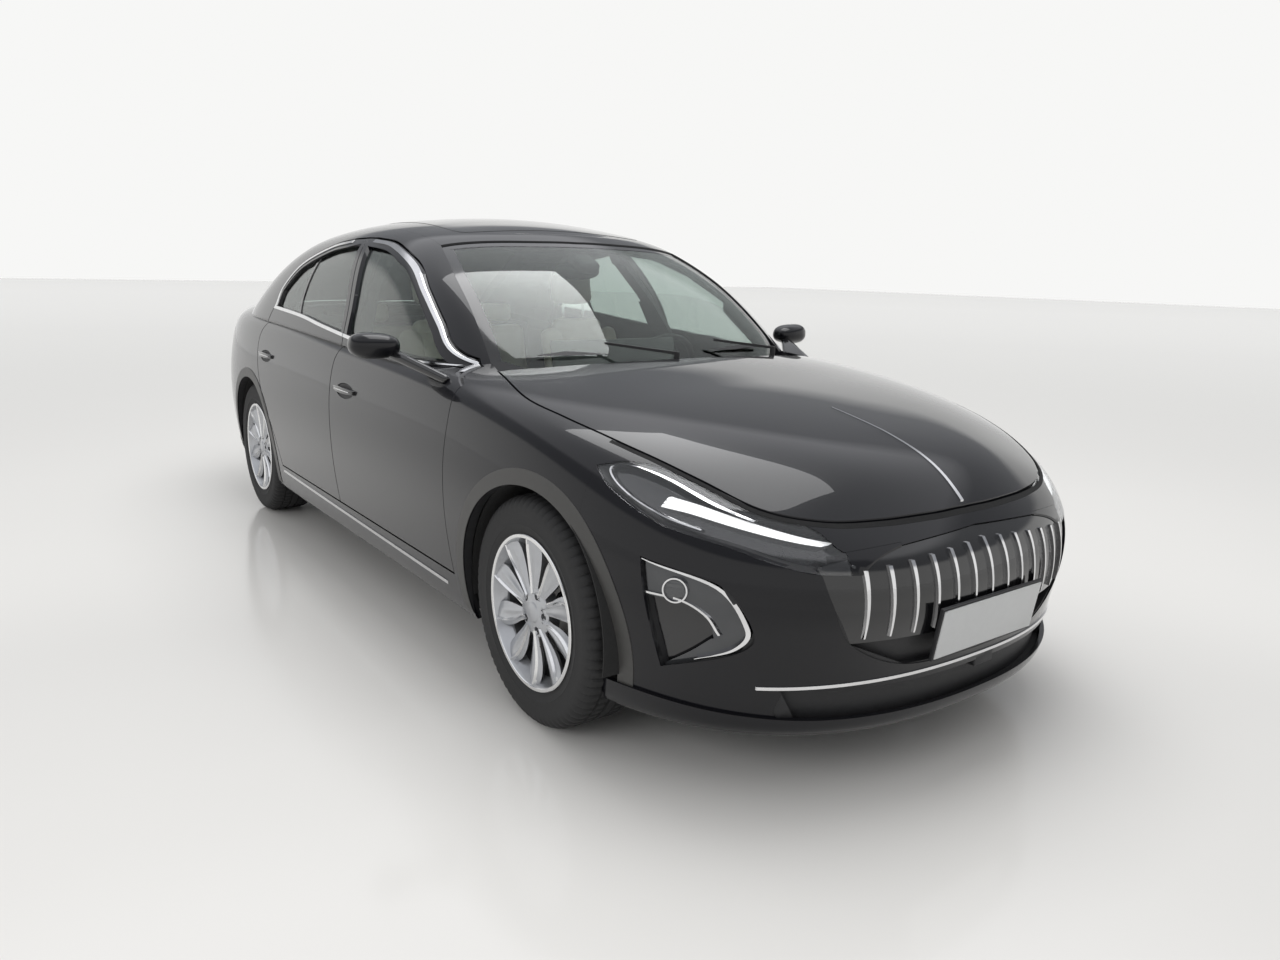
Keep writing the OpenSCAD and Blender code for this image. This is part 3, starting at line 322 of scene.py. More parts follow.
def slab(points, plane, lo, hi, grow=0.0, lean=0.0):
    """A prism over an outline, in millimetres: "side" runs across the car, "plan" upwards"""
    p = np.array(points, float)
    if grow:
        d = np.roll(p, -1, 0) - p
        n = np.stack([d[:, 1], -d[:, 0]], 1) / np.maximum(np.linalg.norm(d, axis=1), 1e-9)[:, None]
        if (p[:, 0] * np.roll(p[:, 1], -1) - np.roll(p[:, 0], -1) * p[:, 1]).sum() < 0:
            n = -n
        m = n + np.roll(n, 1, 0)
        p = p + grow * m / np.maximum((m * m).sum(1) / 2, 0.5)[:, None]
    k = len(p)
    both = []
    for h in (lo, hi):
        if plane == "side":
            both.append(np.c_[p[:, 0] + lean * (half_w + h), np.full(k, h), p[:, 1]])
        elif plane == "plan":
            both.append(np.c_[p[:, 0], p[:, 1], np.full(k, h)])
        else:
            both.append(np.c_[np.full(k, h), p[:, 0], p[:, 1]])
    faces = [list(range(k))[::-1], list(range(k, 2 * k))]
    faces += [[i, (i + 1) % k, (i + 1) % k + k, i + k] for i in range(k)]
    obj = new_solid("slab", np.concatenate(both) / 1000, faces)
    pick(obj)
    bpy.ops.object.mode_set(mode="EDIT")
    bpy.ops.mesh.select_all(action="SELECT")
    bpy.ops.mesh.normals_make_consistent(inside=False)
    bpy.ops.object.mode_set(mode="OBJECT")
    return obj


def block(x0, x1, y0, y1, z0, z1):
    return slab([[x0, y0], [x1, y0], [x1, y1], [x0, y1]], "plan", z0, z1)


def rounded(points, n=8):
    """A smooth line through points, with n steps between each two"""
    p = np.array(points, float)
    p = np.vstack([2 * p[0] - p[1], p, 2 * p[-1] - p[-2]])
    out = []
    for i in range(1, len(p) - 2):
        for s in np.arange(n) / n:
            out.append(0.5 * (2 * p[i] + (p[i + 1] - p[i - 1]) * s
                              + (2 * p[i - 1] - 5 * p[i] + 4 * p[i + 1] - p[i + 2]) * s * s
                              + (3 * p[i] - p[i - 1] - 3 * p[i + 1] + p[i + 2]) * s**3))
    return [list(v) for v in out] + [list(p[-2])]


lower = form("lower", 0)
cabin = form("cabin", 0)
for o in (lower, cabin):
    pick(o)
    bpy.ops.object.shade_smooth()

skin_t = 12  # depth of the smooth skins, in millimetres
shell = copy_of(lower, "shell")
carve(shell, cabin, "UNION", keep=True)
carve(shell, form("lower", skin_t, 40, 30))
carve(shell, form("cabin", skin_t, 40, 30))
lower_shell = copy_of(lower, "lower_shell")
carve(lower_shell, form("lower", skin_t, 40, 30))
shape = copy_of(lower, "shape")
cabin_copy = copy_of(cabin, "cabin_copy")
pick(shape, cabin_copy)
bpy.ops.object.join()
under_lower, under_cabin = form("lower", 2.5, 60, 48), form("cabin", 2.5, 50, 40)
under = copy_of(under_lower, "under")
carve(under, under_cabin, "UNION", keep=True)


# ---- Painted panels -----------------------------------------------------------------------
# Every outer panel is a pressed steel skin in gloss black paint, spot welded to the frame
# behind it or hung on hinges. The CAD solid stays inside it as the frame and inner sheet.
# lean of the shut lines, foot of the doors, shut gap, foot of the lid
lean, door_low, shut, lid_low = 0.34, 345, 7, 670


def at(x, y, z):
    return [x - lean * (half_w + y), z]


a_line = [at(1107, -955, door_low), at(1088, -950, 500), at(1072, -950, 700), at(1064, -930, 860),
          at(1050, -865, 965)]
pillar_line = [at(980, -835, 985), at(811, -767, 1060), at(678, -754, 1156), at(521, -732, 1258),
               at(334, -697, 1360), at(67, -669, 1435), at(-160, -660, 1457)]
b_line = [at(-265, -672, 1459), at(-135, -816, 1200), at(-100, -870, 1040), at(-90, -945, 840),
          at(-60, -955, 660), at(-45, -955, 490), at(-30, -955, door_low)]
rail_line = [at(-420, -680, 1456), at(-650, -700, 1430), at(-960, -755, 1347), at(-1130, -810, 1225),
             at(-1160, -850, 1140)]
c_line = [at(-1190, -865, 1105), at(-1240, -900, 1030), at(-1255, -935, 920), at(-1200, -950, 780),
          at(-1100, -955, 640), at(-990, -955, 520), at(-930, -955, 420), at(-900, -955, door_low)]
front_line = rounded(a_line) + rounded(pillar_line) + rounded(b_line)
rear_line = rounded(b_line[::-1]) + rounded(rail_line + c_line)
belt_line = rounded([[1300, 1012], [500, 1016], [200, 1036], [-100, 1056], [-450, 1082], [-760, 1108],
                     [-1300, 1132]])
fender_line = [[1107, 100]] + rounded(a_line) + [at(1010, -850, 990), [930, 1100], [2600, 1100], [2600, 100]]


def whole(*parts):
    """A plan outline from the lines of its right half, both ends on the middle line"""
    p = [v for part in parts for v in part]
    return p + [[x, -y] for x, y in p[::-1] if abs(y) > 0.5]


hood_edge = whole(rounded([[1200, 0], [1182, -300], [1130, -550], [1052, -735]]),
                  rounded([[1053, -736], [1360, -805], [1580, -800], [1760, -775], [1900, -745], [2070, -690],
                           [2217, -613], [2311, -486], [2361, -323], [2384, -147], [2388, 0]]))
shield_edge = whole(rounded([[378, 0], [362, -250], [290, -588]]),
                    rounded([[291, -589], [520, -640], [720, -668], [945, -700]]),
                    rounded([[946, -699], [1030, -570], [1095, -340], [1140, 0]]))
rear_edge = whole(rounded([[-1150, 0], [-1140, -300], [-1105, -545]]),
                  rounded([[-1106, -546], [-1500, -610], [-1910, -640]]),
                  rounded([[-1911, -639], [-1955, -350], [-1980, 0]]))
roof_edge = whole(rounded([[378, 0], [362, -250], [290, -588]]),
                  rounded([[288, -588.5], [-400, -604], [-1105, -545]]),
                  rounded([[-1106, -544], [-1140, -300], [-1150, 0]]))
lid_edge = whole(rounded([[-2050, 0], [-2030, -350], [-1985, -610]]),
                 rounded([[-1987, -612], [-2150, -655], [-2700, -665]]), [[-2700, 0]])
cowl_edge = whole(rounded([[1140, 0], [1095, -340], [1030, -570], [945, -700]]),
                  rounded([[1052, -735], [1130, -550], [1182, -300], [1200, 0]]))
deck_edge = whole(rounded([[-1980, 0], [-1955, -350], [-1910, -640]]),
                  rounded([[-1985, -650], [-2030, -350], [-2050, 0]]))
lamp_line = rounded([[2382, 680], [2319, 729], [2238, 762], [2017, 838], [1896, 856], [1823, 838]]) + rounded(
    [[1823, 837], [1897, 789], [2056, 726], [2217, 690], [2358, 637], [2420, 625]]) + [[2420, 690]]
unit_line = rounded([[2035, 640], [2226, 598], [2290, 490], [2260, 420], [2090, 350]])
tail_line = rounded([[-2130, 905], [-2230, 948], [-2700, 968]]) + rounded([[-2700, 868], [-2230, 872],
                                                                           [-2131, 904]])
grille_half = rounded([[0, 697], [-300, 682], [-510, 656], [-548, 640]]) + rounded(
    [[-548, 639], [-526, 560], [-466, 444], [-289, 364], [0, 356]])
grille_edge = grille_half + [[-y, z] for y, z in grille_half[::-1] if abs(y) > 0.5]
intake_half = rounded([[0, 312], [-420, 312], [-600, 322]]) + rounded([[-610, 318], [-560, 222], [0, 212]])
intake_edge = intake_half + [[-y, z] for y, z in intake_half[::-1] if abs(y) > 0.5]
bumper_edge = [[1823, 100], [1823, 838], [1897, 810], [2056, 765], [2250, 725], [2250, 1100], [2700, 1100],
               [2700, 100]]

def mottled(name, dark, light, texture="Noise", scale=40, **inputs):
    """A new material whose colour wanders between two with a texture, and its shader"""
    mat = bpy.data.materials.new(name)
    mat.use_nodes = True
    n, l = mat.node_tree.nodes, mat.node_tree.links
    shader = n["Principled BSDF"]
    spots, where, tone = (n.new(f"ShaderNode{kind}") for kind in (f"Tex{texture}", "TexCoord", "Mix"))
    spots.inputs["Scale"].default_value = scale
    tone.data_type = "RGBA"
    tone.inputs["A"].default_value = (*dark, 1)
    tone.inputs["B"].default_value = (*light, 1)
    l.new(where.outputs["Object"], spots.inputs["Vector"])
    l.new(spots.outputs["Fac"], tone.inputs["Factor"])
    l.new(tone.outputs["Result"], shader.inputs["Base Color"])
    if "Emission Strength" in inputs:
        l.new(tone.outputs["Result"], shader.inputs["Emission Color"])
    for key, value in inputs.items():
        shader.inputs[key].default_value = value
    return mat


paint = mottled("gloss_black_paint", (0.003, 0.003, 0.004), (0.008, 0.008, 0.011), scale=900,
                **{"Roughness": 0.3, "Specular IOR Level": 0.1, "Coat IOR": 1.36, "Coat Weight": 1.0,
                   "Coat Roughness": 0.015})
inner = mottled("dark_inner_sheet", (0.012, 0.012, 0.013), (0.022, 0.022, 0.024), Roughness=0.55)


def arch(x, y_in):
    """The round opening over a wheel on the right side"""
    bpy.ops.mesh.primitive_cylinder_add(vertices=128, radius=0.385, depth=(1040 - y_in) / 1000,
                                        rotation=(math.pi / 2, 0, 0),
                                        location=(x / 1000, -(1040 + y_in) / 2000, tyre_r / 1000))
    return settled()


def door_gap(outline, grow):
    return slab(outline, "side", -1100, -400, grow, lean)


def other_side(obj, name):
    """The left one of a right-hand piece"""
    new = copy_of(obj, name)
    new.data.transform(Matrix.Diagonal((1, -1, 1, 1)))
    new.data.flip_normals()
    return new


def carve_both(obj, cutter):
    """Cuts with a right-hand cutter and then with its left-hand twin"""
    twin = other_side(cutter, "twin")
    carve(obj, cutter)
    carve(obj, twin)


skin_tree = BVHTree.FromObject(shape, bpy.context.evaluated_depsgraph_get())
skins = []
for source in (lower, cabin):
    places = [v.co.copy() for v in source.data.vertices]
    turns = [v.normal.copy() for v in source.data.vertices]
    faces = [list(f.vertices) for f in source.data.polygons]
    skins.append((BVHTree.FromPolygons(places, faces), places, turns, faces))


def smooth_skin(obj):
    """Gives the outer faces the normals of the smooth form that each of them lies on"""
    mesh = obj.data
    normals = [c.vector.copy() for c in mesh.corner_normals]
    for f in mesh.polygons:
        tree, places, turns, faces = min(skins, key=lambda skin: skin[0].find_nearest(f.center)[3])
        _, outward, _, far = tree.find_nearest(f.center)
        if far > 0.0004 or outward.dot(f.normal) < 0.5:
            continue
        for k in f.loop_indices:
            spot, _, which, _ = tree.find_nearest(mesh.vertices[mesh.loops[k].vertex_index].co)
            weights = poly_3d_calc([places[v] for v in faces[which]], spot)
            normals[k] = sum((turns[v] * w for v, w in zip(faces[which], weights)), Vector()).normalized()
    mesh.normals_split_custom_set(normals)


def panel(name, sheet, body, coat=paint, core_coat=inner):
    """Joins a smooth skin to the CAD piece of that name, which it replaces"""
    core = copy_of(nodes[name], name + "_core")
    core.parent = None
    core.matrix_world = Matrix.Identity(4)
    core.data.materials.clear()
    pick(core)
    bpy.ops.object.mode_set(mode="EDIT")
    bpy.ops.mesh.select_all(action="SELECT")
    bpy.ops.mesh.remove_doubles(threshold=0.00001)
    bpy.ops.object.mode_set(mode="OBJECT")
    if core.data.has_custom_normals:
        bpy.ops.mesh.customdata_custom_splitnormals_clear()
    carve(core, under, "INTERSECT", keep=True)
    pick(core)
    bpy.ops.object.shade_flat()
    core.data.materials.clear()
    core.data.materials.append(core_coat)
    sheet.data.materials.clear()
    sheet.data.materials.append(coat)
    pick(sheet)
    bpy.ops.object.shade_smooth_by_angle(angle=math.radians(30))
    pick(sheet, core)
    bpy.ops.object.join()
    sheet.name = name + "_panel"
    smooth_skin(sheet)
    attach(sheet, body)
    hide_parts(name)
    return sheet


inner_side = [[-2600, 0], [-2600, -612], [300, -612], [1000, -752], [1400, -820], [1400, 0]]


def shifted(curve, g):
    """A line moved sideways, to the right of its run seen with z or y up"""
    p = np.array(curve, float)
    t = np.gradient(p, axis=0)
    n = np.stack([-t[:, 1], t[:, 0]], 1) / np.maximum(np.linalg.norm(t, axis=1), 1e-9)[:, None]
    return p + (np.ones(len(p)) * g)[:, None] * n


def below(curve, g):
    """All that lies under a line, moved down by g; the line runs rearwards"""
    p = shifted(curve, g)
    p = np.vstack([p[0] + (p[0] - p[1]) * 600 / np.linalg.norm(p[0] - p[1]), p,
                   p[-1] + (p[-1] - p[-2]) * 600 / np.linalg.norm(p[-1] - p[-2])])
    ends = [[p[-1, 0], -1500], [p[0, 0], -1500]]
    return slab([list(v) for v in p] + ends, "side", -1100, -400, 0, lean)


def ahead(curve, g, far=2500):
    """All that lies in front of a line that runs down, moved forwards by g"""
    p = shifted(curve, g)
    p = np.vstack([p[0] + (p[0] - p[1]) * 300 / np.linalg.norm(p[0] - p[1]), p,
                   p[-1] + (p[-1] - p[-2]) * 300 / np.linalg.norm(p[-1] - p[-2])])
    return slab([list(v) for v in p] + [[far, p[-1, 1]], [far, p[0, 1]]], "side", -1100, -400, 0, lean)


def window_hole(end, g=shut / 2 + 32):
    """The window opening of a door: inside its frame and above the belt line"""
    if end == "front":
        hole = below(rounded(pillar_line), g)
        carve(hole, ahead(rounded(b_line), g), "INTERSECT")
    else:
        hole = below(rounded(rail_line + c_line[:1]), g)
        carve(hole, ahead(rounded(b_line), -g, -2500), "INTERSECT")
    above = slab(belt_line + [[-1300, 1600], [1300, 1600]], "side", -1100, -400, 0, lean)
    return carve(hole, above, "INTERSECT")


grips = {"front": (96, 842), "rear": (-1085, 882)}
for end, outline in (("front", front_line), ("rear", rear_line)):
    door = copy_of(shell, "door")
    carve(door, door_gap(outline, -shut / 2), "INTERSECT")
    carve(door, slab(inner_side, "plan", 960, 1600))
    carve(door, window_hole(end))
    grip_x, grip_z = grips[end]
    bpy.ops.mesh.primitive_uv_sphere_add(segments=48, ring_count=24, radius=1,
                                         location=(grip_x / 1000, -0.944, grip_z / 1000),
                                         scale=(0.105, 0.02, 0.034))
    cup = settled()
    carve(door, cup)
    left_door = other_side(door, "left_door")
    panel(f"{end}_door_right", door, f"{end}_door_right")
    panel(f"{end}_door_left", left_door, f"{end}_door_left")

quarter = copy_of(shell, "quarter")
carve(quarter, block(-2700, 1180, -1000, -400, 100, 1700), "INTERSECT")
gap = door_gap(front_line, shut / 2)
carve(gap, slab([[x, y + shut] for x, y in [[600, -665], [1000, -752], [1400, -820], [1400, 0], [600, 0]]],
                "plan", 967, 1600))
carve(quarter, gap)
carve(quarter, door_gap(rear_line, shut / 2))
front_region = slab(fender_line, "side", -1100, -400, 0, lean)
carve(front_region, cabin, keep=True)
carve(quarter, front_region)
for edge, g in ((shield_edge, 0.3), (rear_edge, 0.3), (roof_edge, 0.3), (cowl_edge, 0.3), (deck_edge, 0.3),
                (lid_edge, shut / 2)):
    carve(quarter, slab(edge, "plan", 500, 1700, g))
carve(quarter, slab(tail_line, "side", -1100, -300, 0.3))
carve(quarter, block(-2800, axle_r, -1000, 0, 0, lid_low - 4))
carve(quarter, arch(axle_f, 440))
carve(quarter, arch(axle_r, 620))
left_quarter = other_side(quarter, "left_quarter")
panel("body_side_right", quarter, "body")
panel("body_side_left", left_quarter, "body")

wing = copy_of(lower_shell, "wing")
carve(wing, slab(fender_line, "side", -1100, -400, -0.3, lean), "INTERSECT")
carve(wing, block(900, 2236, -1000, -480, 150, 1100), "INTERSECT")
carve(wing, cabin, keep=True)
carve(wing, arch(axle_f, 440))
carve(wing, slab(hood_edge, "plan", 500, 1700, shut / 2))
carve(wing, slab(cowl_edge, "plan", 500, 1700, 0.3))
carve(wing, slab(bumper_edge, "side", -1100, 0))
carve(wing, slab(lamp_line, "side", -1100, -300))
left_wing = other_side(wing, "left_wing")
panel("fender_right", wing, "body")
panel("fender_left", left_wing, "body")

bonnet = copy_of(lower_shell, "bonnet")
carve(bonnet, slab(hood_edge, "plan", 500, 1700, -shut / 2), "INTERSECT")
carve(bonnet, block(2300, 2600, -1000, 1000, 0, 700))
panel("hood", bonnet, "hood")

boot = copy_of(lower_shell, "boot")
carve(boot, slab(lid_edge, "plan", 500, 1700, -shut / 2), "INTERSECT")
carve(boot, block(-2700, -1500, -1000, 1000, 0, lid_low + shut / 2))
panel("trunk_lid", boot, "trunk_lid")

top = copy_of(shell, "top")
carve(top, slab(roof_edge, "plan", 1200, 1700, -0.3), "INTERSECT")
panel("roof", top, "body")

nose = copy_of(lower_shell, "nose")
carve(nose, slab(bumper_edge, "side", -1100, 1100, -0.3), "INTERSECT")
# The gap in front of the hood is cut 6 mm wider here; a near-black strip of painted shade, made with the
# bright trim, fills it.
carve(nose, slab(hood_edge, "plan", 650, 1700, shut / 2 + 6))
for cutter in (arch(axle_f, 440), slab(lamp_line, "side", -1100, -300), slab(unit_line, "side", -1100, -600)):
    carve_both(nose, cutter)
carve(nose, slab(grille_edge, "front", 1900, 2800))
carve(nose, slab(intake_edge, "front", 1900, 2800))
panel("front_bumper", nose, "body")

tail = copy_of(lower_shell, "tail")
carve(tail, block(-2700, axle_r, -1000, 1000, 100, lid_low - 4.3), "INTERSECT")
carve_both(tail, arch(axle_r, 620))
panel("rear_bumper", tail, "body")

# ---- Windows ------------------------------------------------------------------------------
# Curved panes of tinted glass, 5 mm thick: the windshield and rear window are bonded to the
# body, and the door glass runs in the door frames.
glass = mottled("tinted_glass", (0.6, 0.68, 0.64), (0.65, 0.72, 0.69), scale=4,
                **{"Roughness": 0.0, "IOR": 1.45, "Transmission Weight": 1.0})
pane = form("cabin", 6)
inside = form("cabin", 11, 50, 40)
carve(pane, inside)
door_pane = form("cabin", 12)
carve(door_pane, form("cabin", 17, 50, 40))


def glazing(name, sheet, body):
    sheet.name = name
    sheet.data.materials.clear()
    sheet.data.materials.append(glass)
    pick(sheet)
    bpy.ops.object.shade_smooth_by_angle(angle=math.radians(30))
    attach(sheet, body)


shield = copy_of(pane, "shield")
carve(shield, slab(shield_edge, "plan", 975, 1700, -0.3), "INTERSECT")
back_glass = copy_of(pane, "back_glass")
carve(back_glass, slab(rear_edge, "plan", 1112, 1700, -0.3), "INTERSECT")
glazing("windshield", shield, "body")
glazing("rear_window", back_glass, "body")
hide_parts("windows")
for end, outline in (("front", front_line), ("rear", rear_line)):
    right_pane = copy_of(door_pane, "pane")
    hole = window_hole(end, shut / 2 + 30)
    carve(right_pane, hole, "INTERSECT")
    left_pane = other_side(right_pane, "left_pane")
    for sheet, hand in ((right_pane, "right"), (left_pane, "left")):
        glazing(f"{end}_window_{hand}", sheet, f"{end}_door_{hand}")
        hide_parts(f"{end}_glass_{hand}")

# ---- Bright trim --------------------------------------------------------------------------
# Thin strips of chromed moulding, clipped along the windows' outline, under the windows,
# along the sills and down the middle of the hood.
grain = bpy.data.node_groups.new("surface_grain", "ShaderNodeTree")
grain.interface.new_socket(name="Vector", in_out="INPUT", socket_type="NodeSocketVector")
grain.interface.new_socket(name="Scale", in_out="INPUT", socket_type="NodeSocketFloat")
grain.interface.new_socket(name="Tone", in_out="OUTPUT", socket_type="NodeSocketFloat")
grain.interface.new_socket(name="Fine", in_out="OUTPUT", socket_type="NodeSocketFloat")
gi, go = grain.nodes.new("NodeGroupInput"), grain.nodes.new("NodeGroupOutput")
broad, fine = grain.nodes.new("ShaderNodeTexNoise"), grain.nodes.new("ShaderNodeTexNoise")
broad.inputs["Detail"].default_value = 4
double = grain.nodes.new("ShaderNodeMath")
double.operation = "MULTIPLY"
double.inputs[1].default_value = 9
grain.links.new(gi.outputs["Vector"], broad.inputs["Vector"])
grain.links.new(gi.outputs["Vector"], fine.inputs["Vector"])
grain.links.new(gi.outputs["Scale"], broad.inputs["Scale"])
grain.links.new(gi.outputs["Scale"], double.inputs[0])
grain.links.new(double.outputs[0], fine.inputs["Scale"])
grain.links.new(broad.outputs["Fac"], go.inputs["Tone"])
grain.links.new(fine.outputs["Fac"], go.inputs["Fine"])


def finish(name, dark, light, rough, scale=30, metal=0.0, bump=0.0, coat=0.0, spread=0.08):
    """A finish whose colour and roughness wander with a grain, and which may be pebbled"""
    mat = bpy.data.materials.new(name)
    mat.use_nodes = True
    n, l = mat.node_tree.nodes, mat.node_tree.links
    b = n["Principled BSDF"]
    b.inputs["Metallic"].default_value = metal
    b.inputs["Coat Weight"].default_value = coat
    b.inputs["Coat Roughness"].default_value = 0.03
    co, g = n.new("ShaderNodeTexCoord"), n.new("ShaderNodeGroup")
    g.node_tree = grain
    g.inputs["Scale"].default_value = scale
    l.new(co.outputs["Object"], g.inputs["Vector"])
    c = n.new("ShaderNodeMix")
    c.data_type = "RGBA"
    c.inputs["A"].default_value = (*dark, 1)
    c.inputs["B"].default_value = (*light, 1)
    l.new(g.outputs["Tone"], c.inputs["Factor"])
    l.new(c.outputs["Result"], b.inputs["Base Color"])
    r = n.new("ShaderNodeMapRange")
    r.inputs["To Min"].default_value = max(rough - spread, 0)
    r.inputs["To Max"].default_value = rough + spread
    l.new(g.outputs["Tone"], r.inputs["Value"])
    l.new(r.outputs["Result"], b.inputs["Roughness"])
    if bump:
        h = n.new("ShaderNodeBump")
        h.inputs["Strength"].default_value = bump
        h.inputs["Distance"].default_value = 0.001
        l.new(g.outputs["Fine"], h.inputs["Height"])
        l.new(h.outputs["Normal"], b.inputs["Normal"])
    return mat


chrome = finish("bright_chrome", (0.72, 0.72, 0.73), (0.82, 0.82, 0.83), 0.1, 20, 1.0, spread=0.04)
gloss = finish("gloss_black_plastic", (0.004, 0.004, 0.005), (0.009, 0.009, 0.01), 0.12, 25, coat=0.6,
               spread=0.04)
dull = finish("grained_black_plastic", (0.012, 0.012, 0.013), (0.028, 0.028, 0.03), 0.55, 60, bump=0.25)
satin = finish("satin_arch_plastic", (0.045, 0.044, 0.042), (0.062, 0.061, 0.058), 0.38, 40, bump=0.06)
trim_lower, trim_cabin = form("lower", -3), form("cabin", -3)
trim = copy_of(trim_lower, "trim")
carve(trim, trim_cabin, "UNION", keep=True)
deep_lower, deep_cabin = form("lower", 3), form("cabin", 3)
carve(trim, deep_lower, keep=True)
carve(trim, deep_cabin, keep=True)
low_trim = copy_of(trim_lower, "low_trim")
carve(low_trim, deep_lower, keep=True)


def ribbon(curve, a, b, plane="side", lo=-1100, hi=-400, tilt=0.0):
    """A prism over the band between two distances from a line"""
    return slab([list(v) for v in shifted(curve, a)] + [list(v) for v in shifted(curve, b)[::-1]], plane, lo,
                hi, 0, tilt)


def piece(obj, name, body, coat, angle=30):
    """Names a new piece, gives it its finish and hangs it on its body"""
    obj.name = name
    obj.data.materials.clear()
    obj.data.materials.append(coat)
    pick(obj)
    bpy.ops.object.shade_smooth_by_angle(angle=math.radians(angle))
    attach(obj, body)
    return obj


def both_sides(obj, name, body, coat, angle=30):
    """A right-hand piece and its left-hand twin; %s in the names stands for the side"""
    twin = other_side(obj, name % "left")
    piece(obj, name % "right", body % "right" if "%" in body else body, coat, angle)
    piece(twin, name % "left", body % "left" if "%" in body else body, coat, angle)


for end, outline in (("front", front_line), ("rear", rear_line)):
    if end == "front":
        crown = rounded(pillar_line)
        run = np.linspace(0, 1, len(crown))
        band = ribbon(crown, 4.5, 8 + 9 * np.clip(run / 0.6, 0, 1), tilt=lean)
    else:
        crown = rounded(rail_line + c_line[:1])
        run = np.linspace(0, 1, len(crown))
        band = ribbon(crown, 4.5, 17 + 18 * np.clip((run - 0.68) / 0.25, 0, 1) ** 1.5, tilt=lean)
    over_belt = [list(v) for v in shifted(belt_line, 15)] + [[-1300, 1600], [1300, 1600]]
    carve(band, slab(over_belt, "side", -1100, -400, 0, lean), "INTERSECT")
    strip = ribbon(belt_line, 1, 1 + 14 * np.clip((950 - np.array(belt_line)[:, 0]) / 600, 0.25, 1),
                   tilt=lean)
    carve(strip, below(crown, 4.5), "INTERSECT")
    carve(band, strip, "UNION")
    carve(band, door_gap(outline, -shut / 2 - 0.6), "INTERSECT")
    carve(band, slab(inner_side, "plan", 900, 1600))
    carve(band, trim, "INTERSECT", keep=True)
    both_sides(band, f"{end}_window_chrome_%s", f"{end}_door_%s", chrome)

bar = form("cabin", 8.5)
carve(bar, form("cabin", 12.6))
carve(bar, ribbon(rounded([at(-779, -743, 1390), at(-799, -817, 1215), at(-774, -860, 1090)]), -11, 11,
                  tilt=lean), "INTERSECT")
carve(bar, window_hole("rear", shut / 2 + 33), "INTERSECT")
both_sides(bar, "quarter_divider_%s", "rear_door_%s", gloss)

sill = ribbon(rounded([[1050, 300], [300, 309], [-300, 317], [-880, 326]]), 0, 13)
carve(sill, low_trim, "INTERSECT", keep=True)
both_sides(sill, "sill_strip_%s", "body", chrome)

spear = slab([[1880, -2.5], [2378, -6.5], [2378, 6.5], [1880, 2.5]], "plan", 600, 1200)
carve(spear, low_trim, "INTERSECT", keep=True)
piece(spear, "hood_spear", "hood", chrome)
# A near-black, rough strip along the hood's front edge is painted shade: it fills the shut gap between hood
# and bumper, darker than real rubber, to stand for the shade in that gap.
gap_shade = finish("painted_gap_shade", (0.0015, 0.0015, 0.0016), (0.003, 0.003, 0.003), 0.85, 90, bump=0.1)
hood_lip = rounded([[1790, -771], [1900, -745], [2070, -690], [2217, -613], [2311, -486], [2361, -323],
                    [2384, -147], [2388, 0]])
hood_gap_shade = ribbon(hood_lip + [[x, -y] for x, y in hood_lip[-2::-1]], -15, -3.9, "plan", 600, 1200)
gap_shade_skin = form("lower", -0.5)
carve(gap_shade_skin, form("lower", 6))
carve(hood_gap_shade, gap_shade_skin, "INTERSECT")
piece(hood_gap_shade, "hood_gap_shade", "body", gap_shade)

# ---- Arch bands ---------------------------------------------------------------------------
# A flat band of satin plastic follows the edge of each wheel opening, clipped to the panels
# it crosses, so that the rear one is parted where the rear door begins.
band_skin = form("lower", -2.2)
carve(band_skin, form("lower", 1.5))
for end, x in (("front", axle_f), ("rear", axle_r)):
    ring = arch(x, 620)
    ring.data.transform(Matrix.Translation((-x / 1000, 0, -tyre_r / 1000)))
    outer_ring = copy_of(ring, "outer_ring")
    ring.data.transform(Matrix.Diagonal((386 / 385, 1, 386 / 385, 1)))
    outer_ring.data.transform(Matrix.Diagonal((434 / 385, 1, 434 / 385, 1)))
    for o in (ring, outer_ring):
        o.data.transform(Matrix.Translation((x / 1000, 0, tyre_r / 1000)))
    carve(outer_ring, ring)
    carve(outer_ring, band_skin, "INTERSECT", keep=True)
    carve(outer_ring, block(-2700, 2700, -1000, 0, 235, 1000), "INTERSECT")
    if end == "rear":
        on_door = copy_of(outer_ring, "on_door")
        carve(on_door, door_gap(rear_line, -shut / 2), "INTERSECT")
        carve(outer_ring, door_gap(rear_line, shut / 2))
        both_sides(on_door, "rear_door_arch_band_%s", "rear_door_%s", satin)
    both_sides(outer_ring, f"{end}_arch_band_%s", "body", satin)

# ---- Door handles -------------------------------------------------------------------------
# Each door has a pull handle: a black bar with a chrome inlay across a cup pressed in the
# skin, held by a screw at each end.
for end, (x, z) in grips.items():
    y = -0.9465 if end == "front" else -0.9435
    bpy.ops.mesh.primitive_cube_add(size=1, location=(x / 1000, y, z / 1000), scale=(0.23, 0.014, 0.026))
    grip = settled()
    bpy.ops.object.mode_set(mode="EDIT")
    bpy.ops.mesh.subdivide(number_cuts=6)
    bpy.ops.object.mode_set(mode="OBJECT")
    for v in grip.data.vertices:
        u = (v.co.x - x / 1000) / 0.115
        v.co.z = z / 1000 + (v.co.z - z / 1000) * (1 - 0.35 * u * u)
        v.co.y += 0.006 * u * u
    finished(grip, "BEVEL", width=0.005, segments=3, limit_method="ANGLE")
    both_sides(grip, f"{end}_handle_%s", f"{end}_door_%s", gloss)
    bpy.ops.mesh.primitive_cube_add(size=1, location=(x / 1000, y - 0.0062, z / 1000),
                                    scale=(0.17, 0.004, 0.004))
    inlay = settled(0.0012, 2)
    both_sides(inlay, f"{end}_handle_inlay_%s", f"{end}_door_%s", chrome)

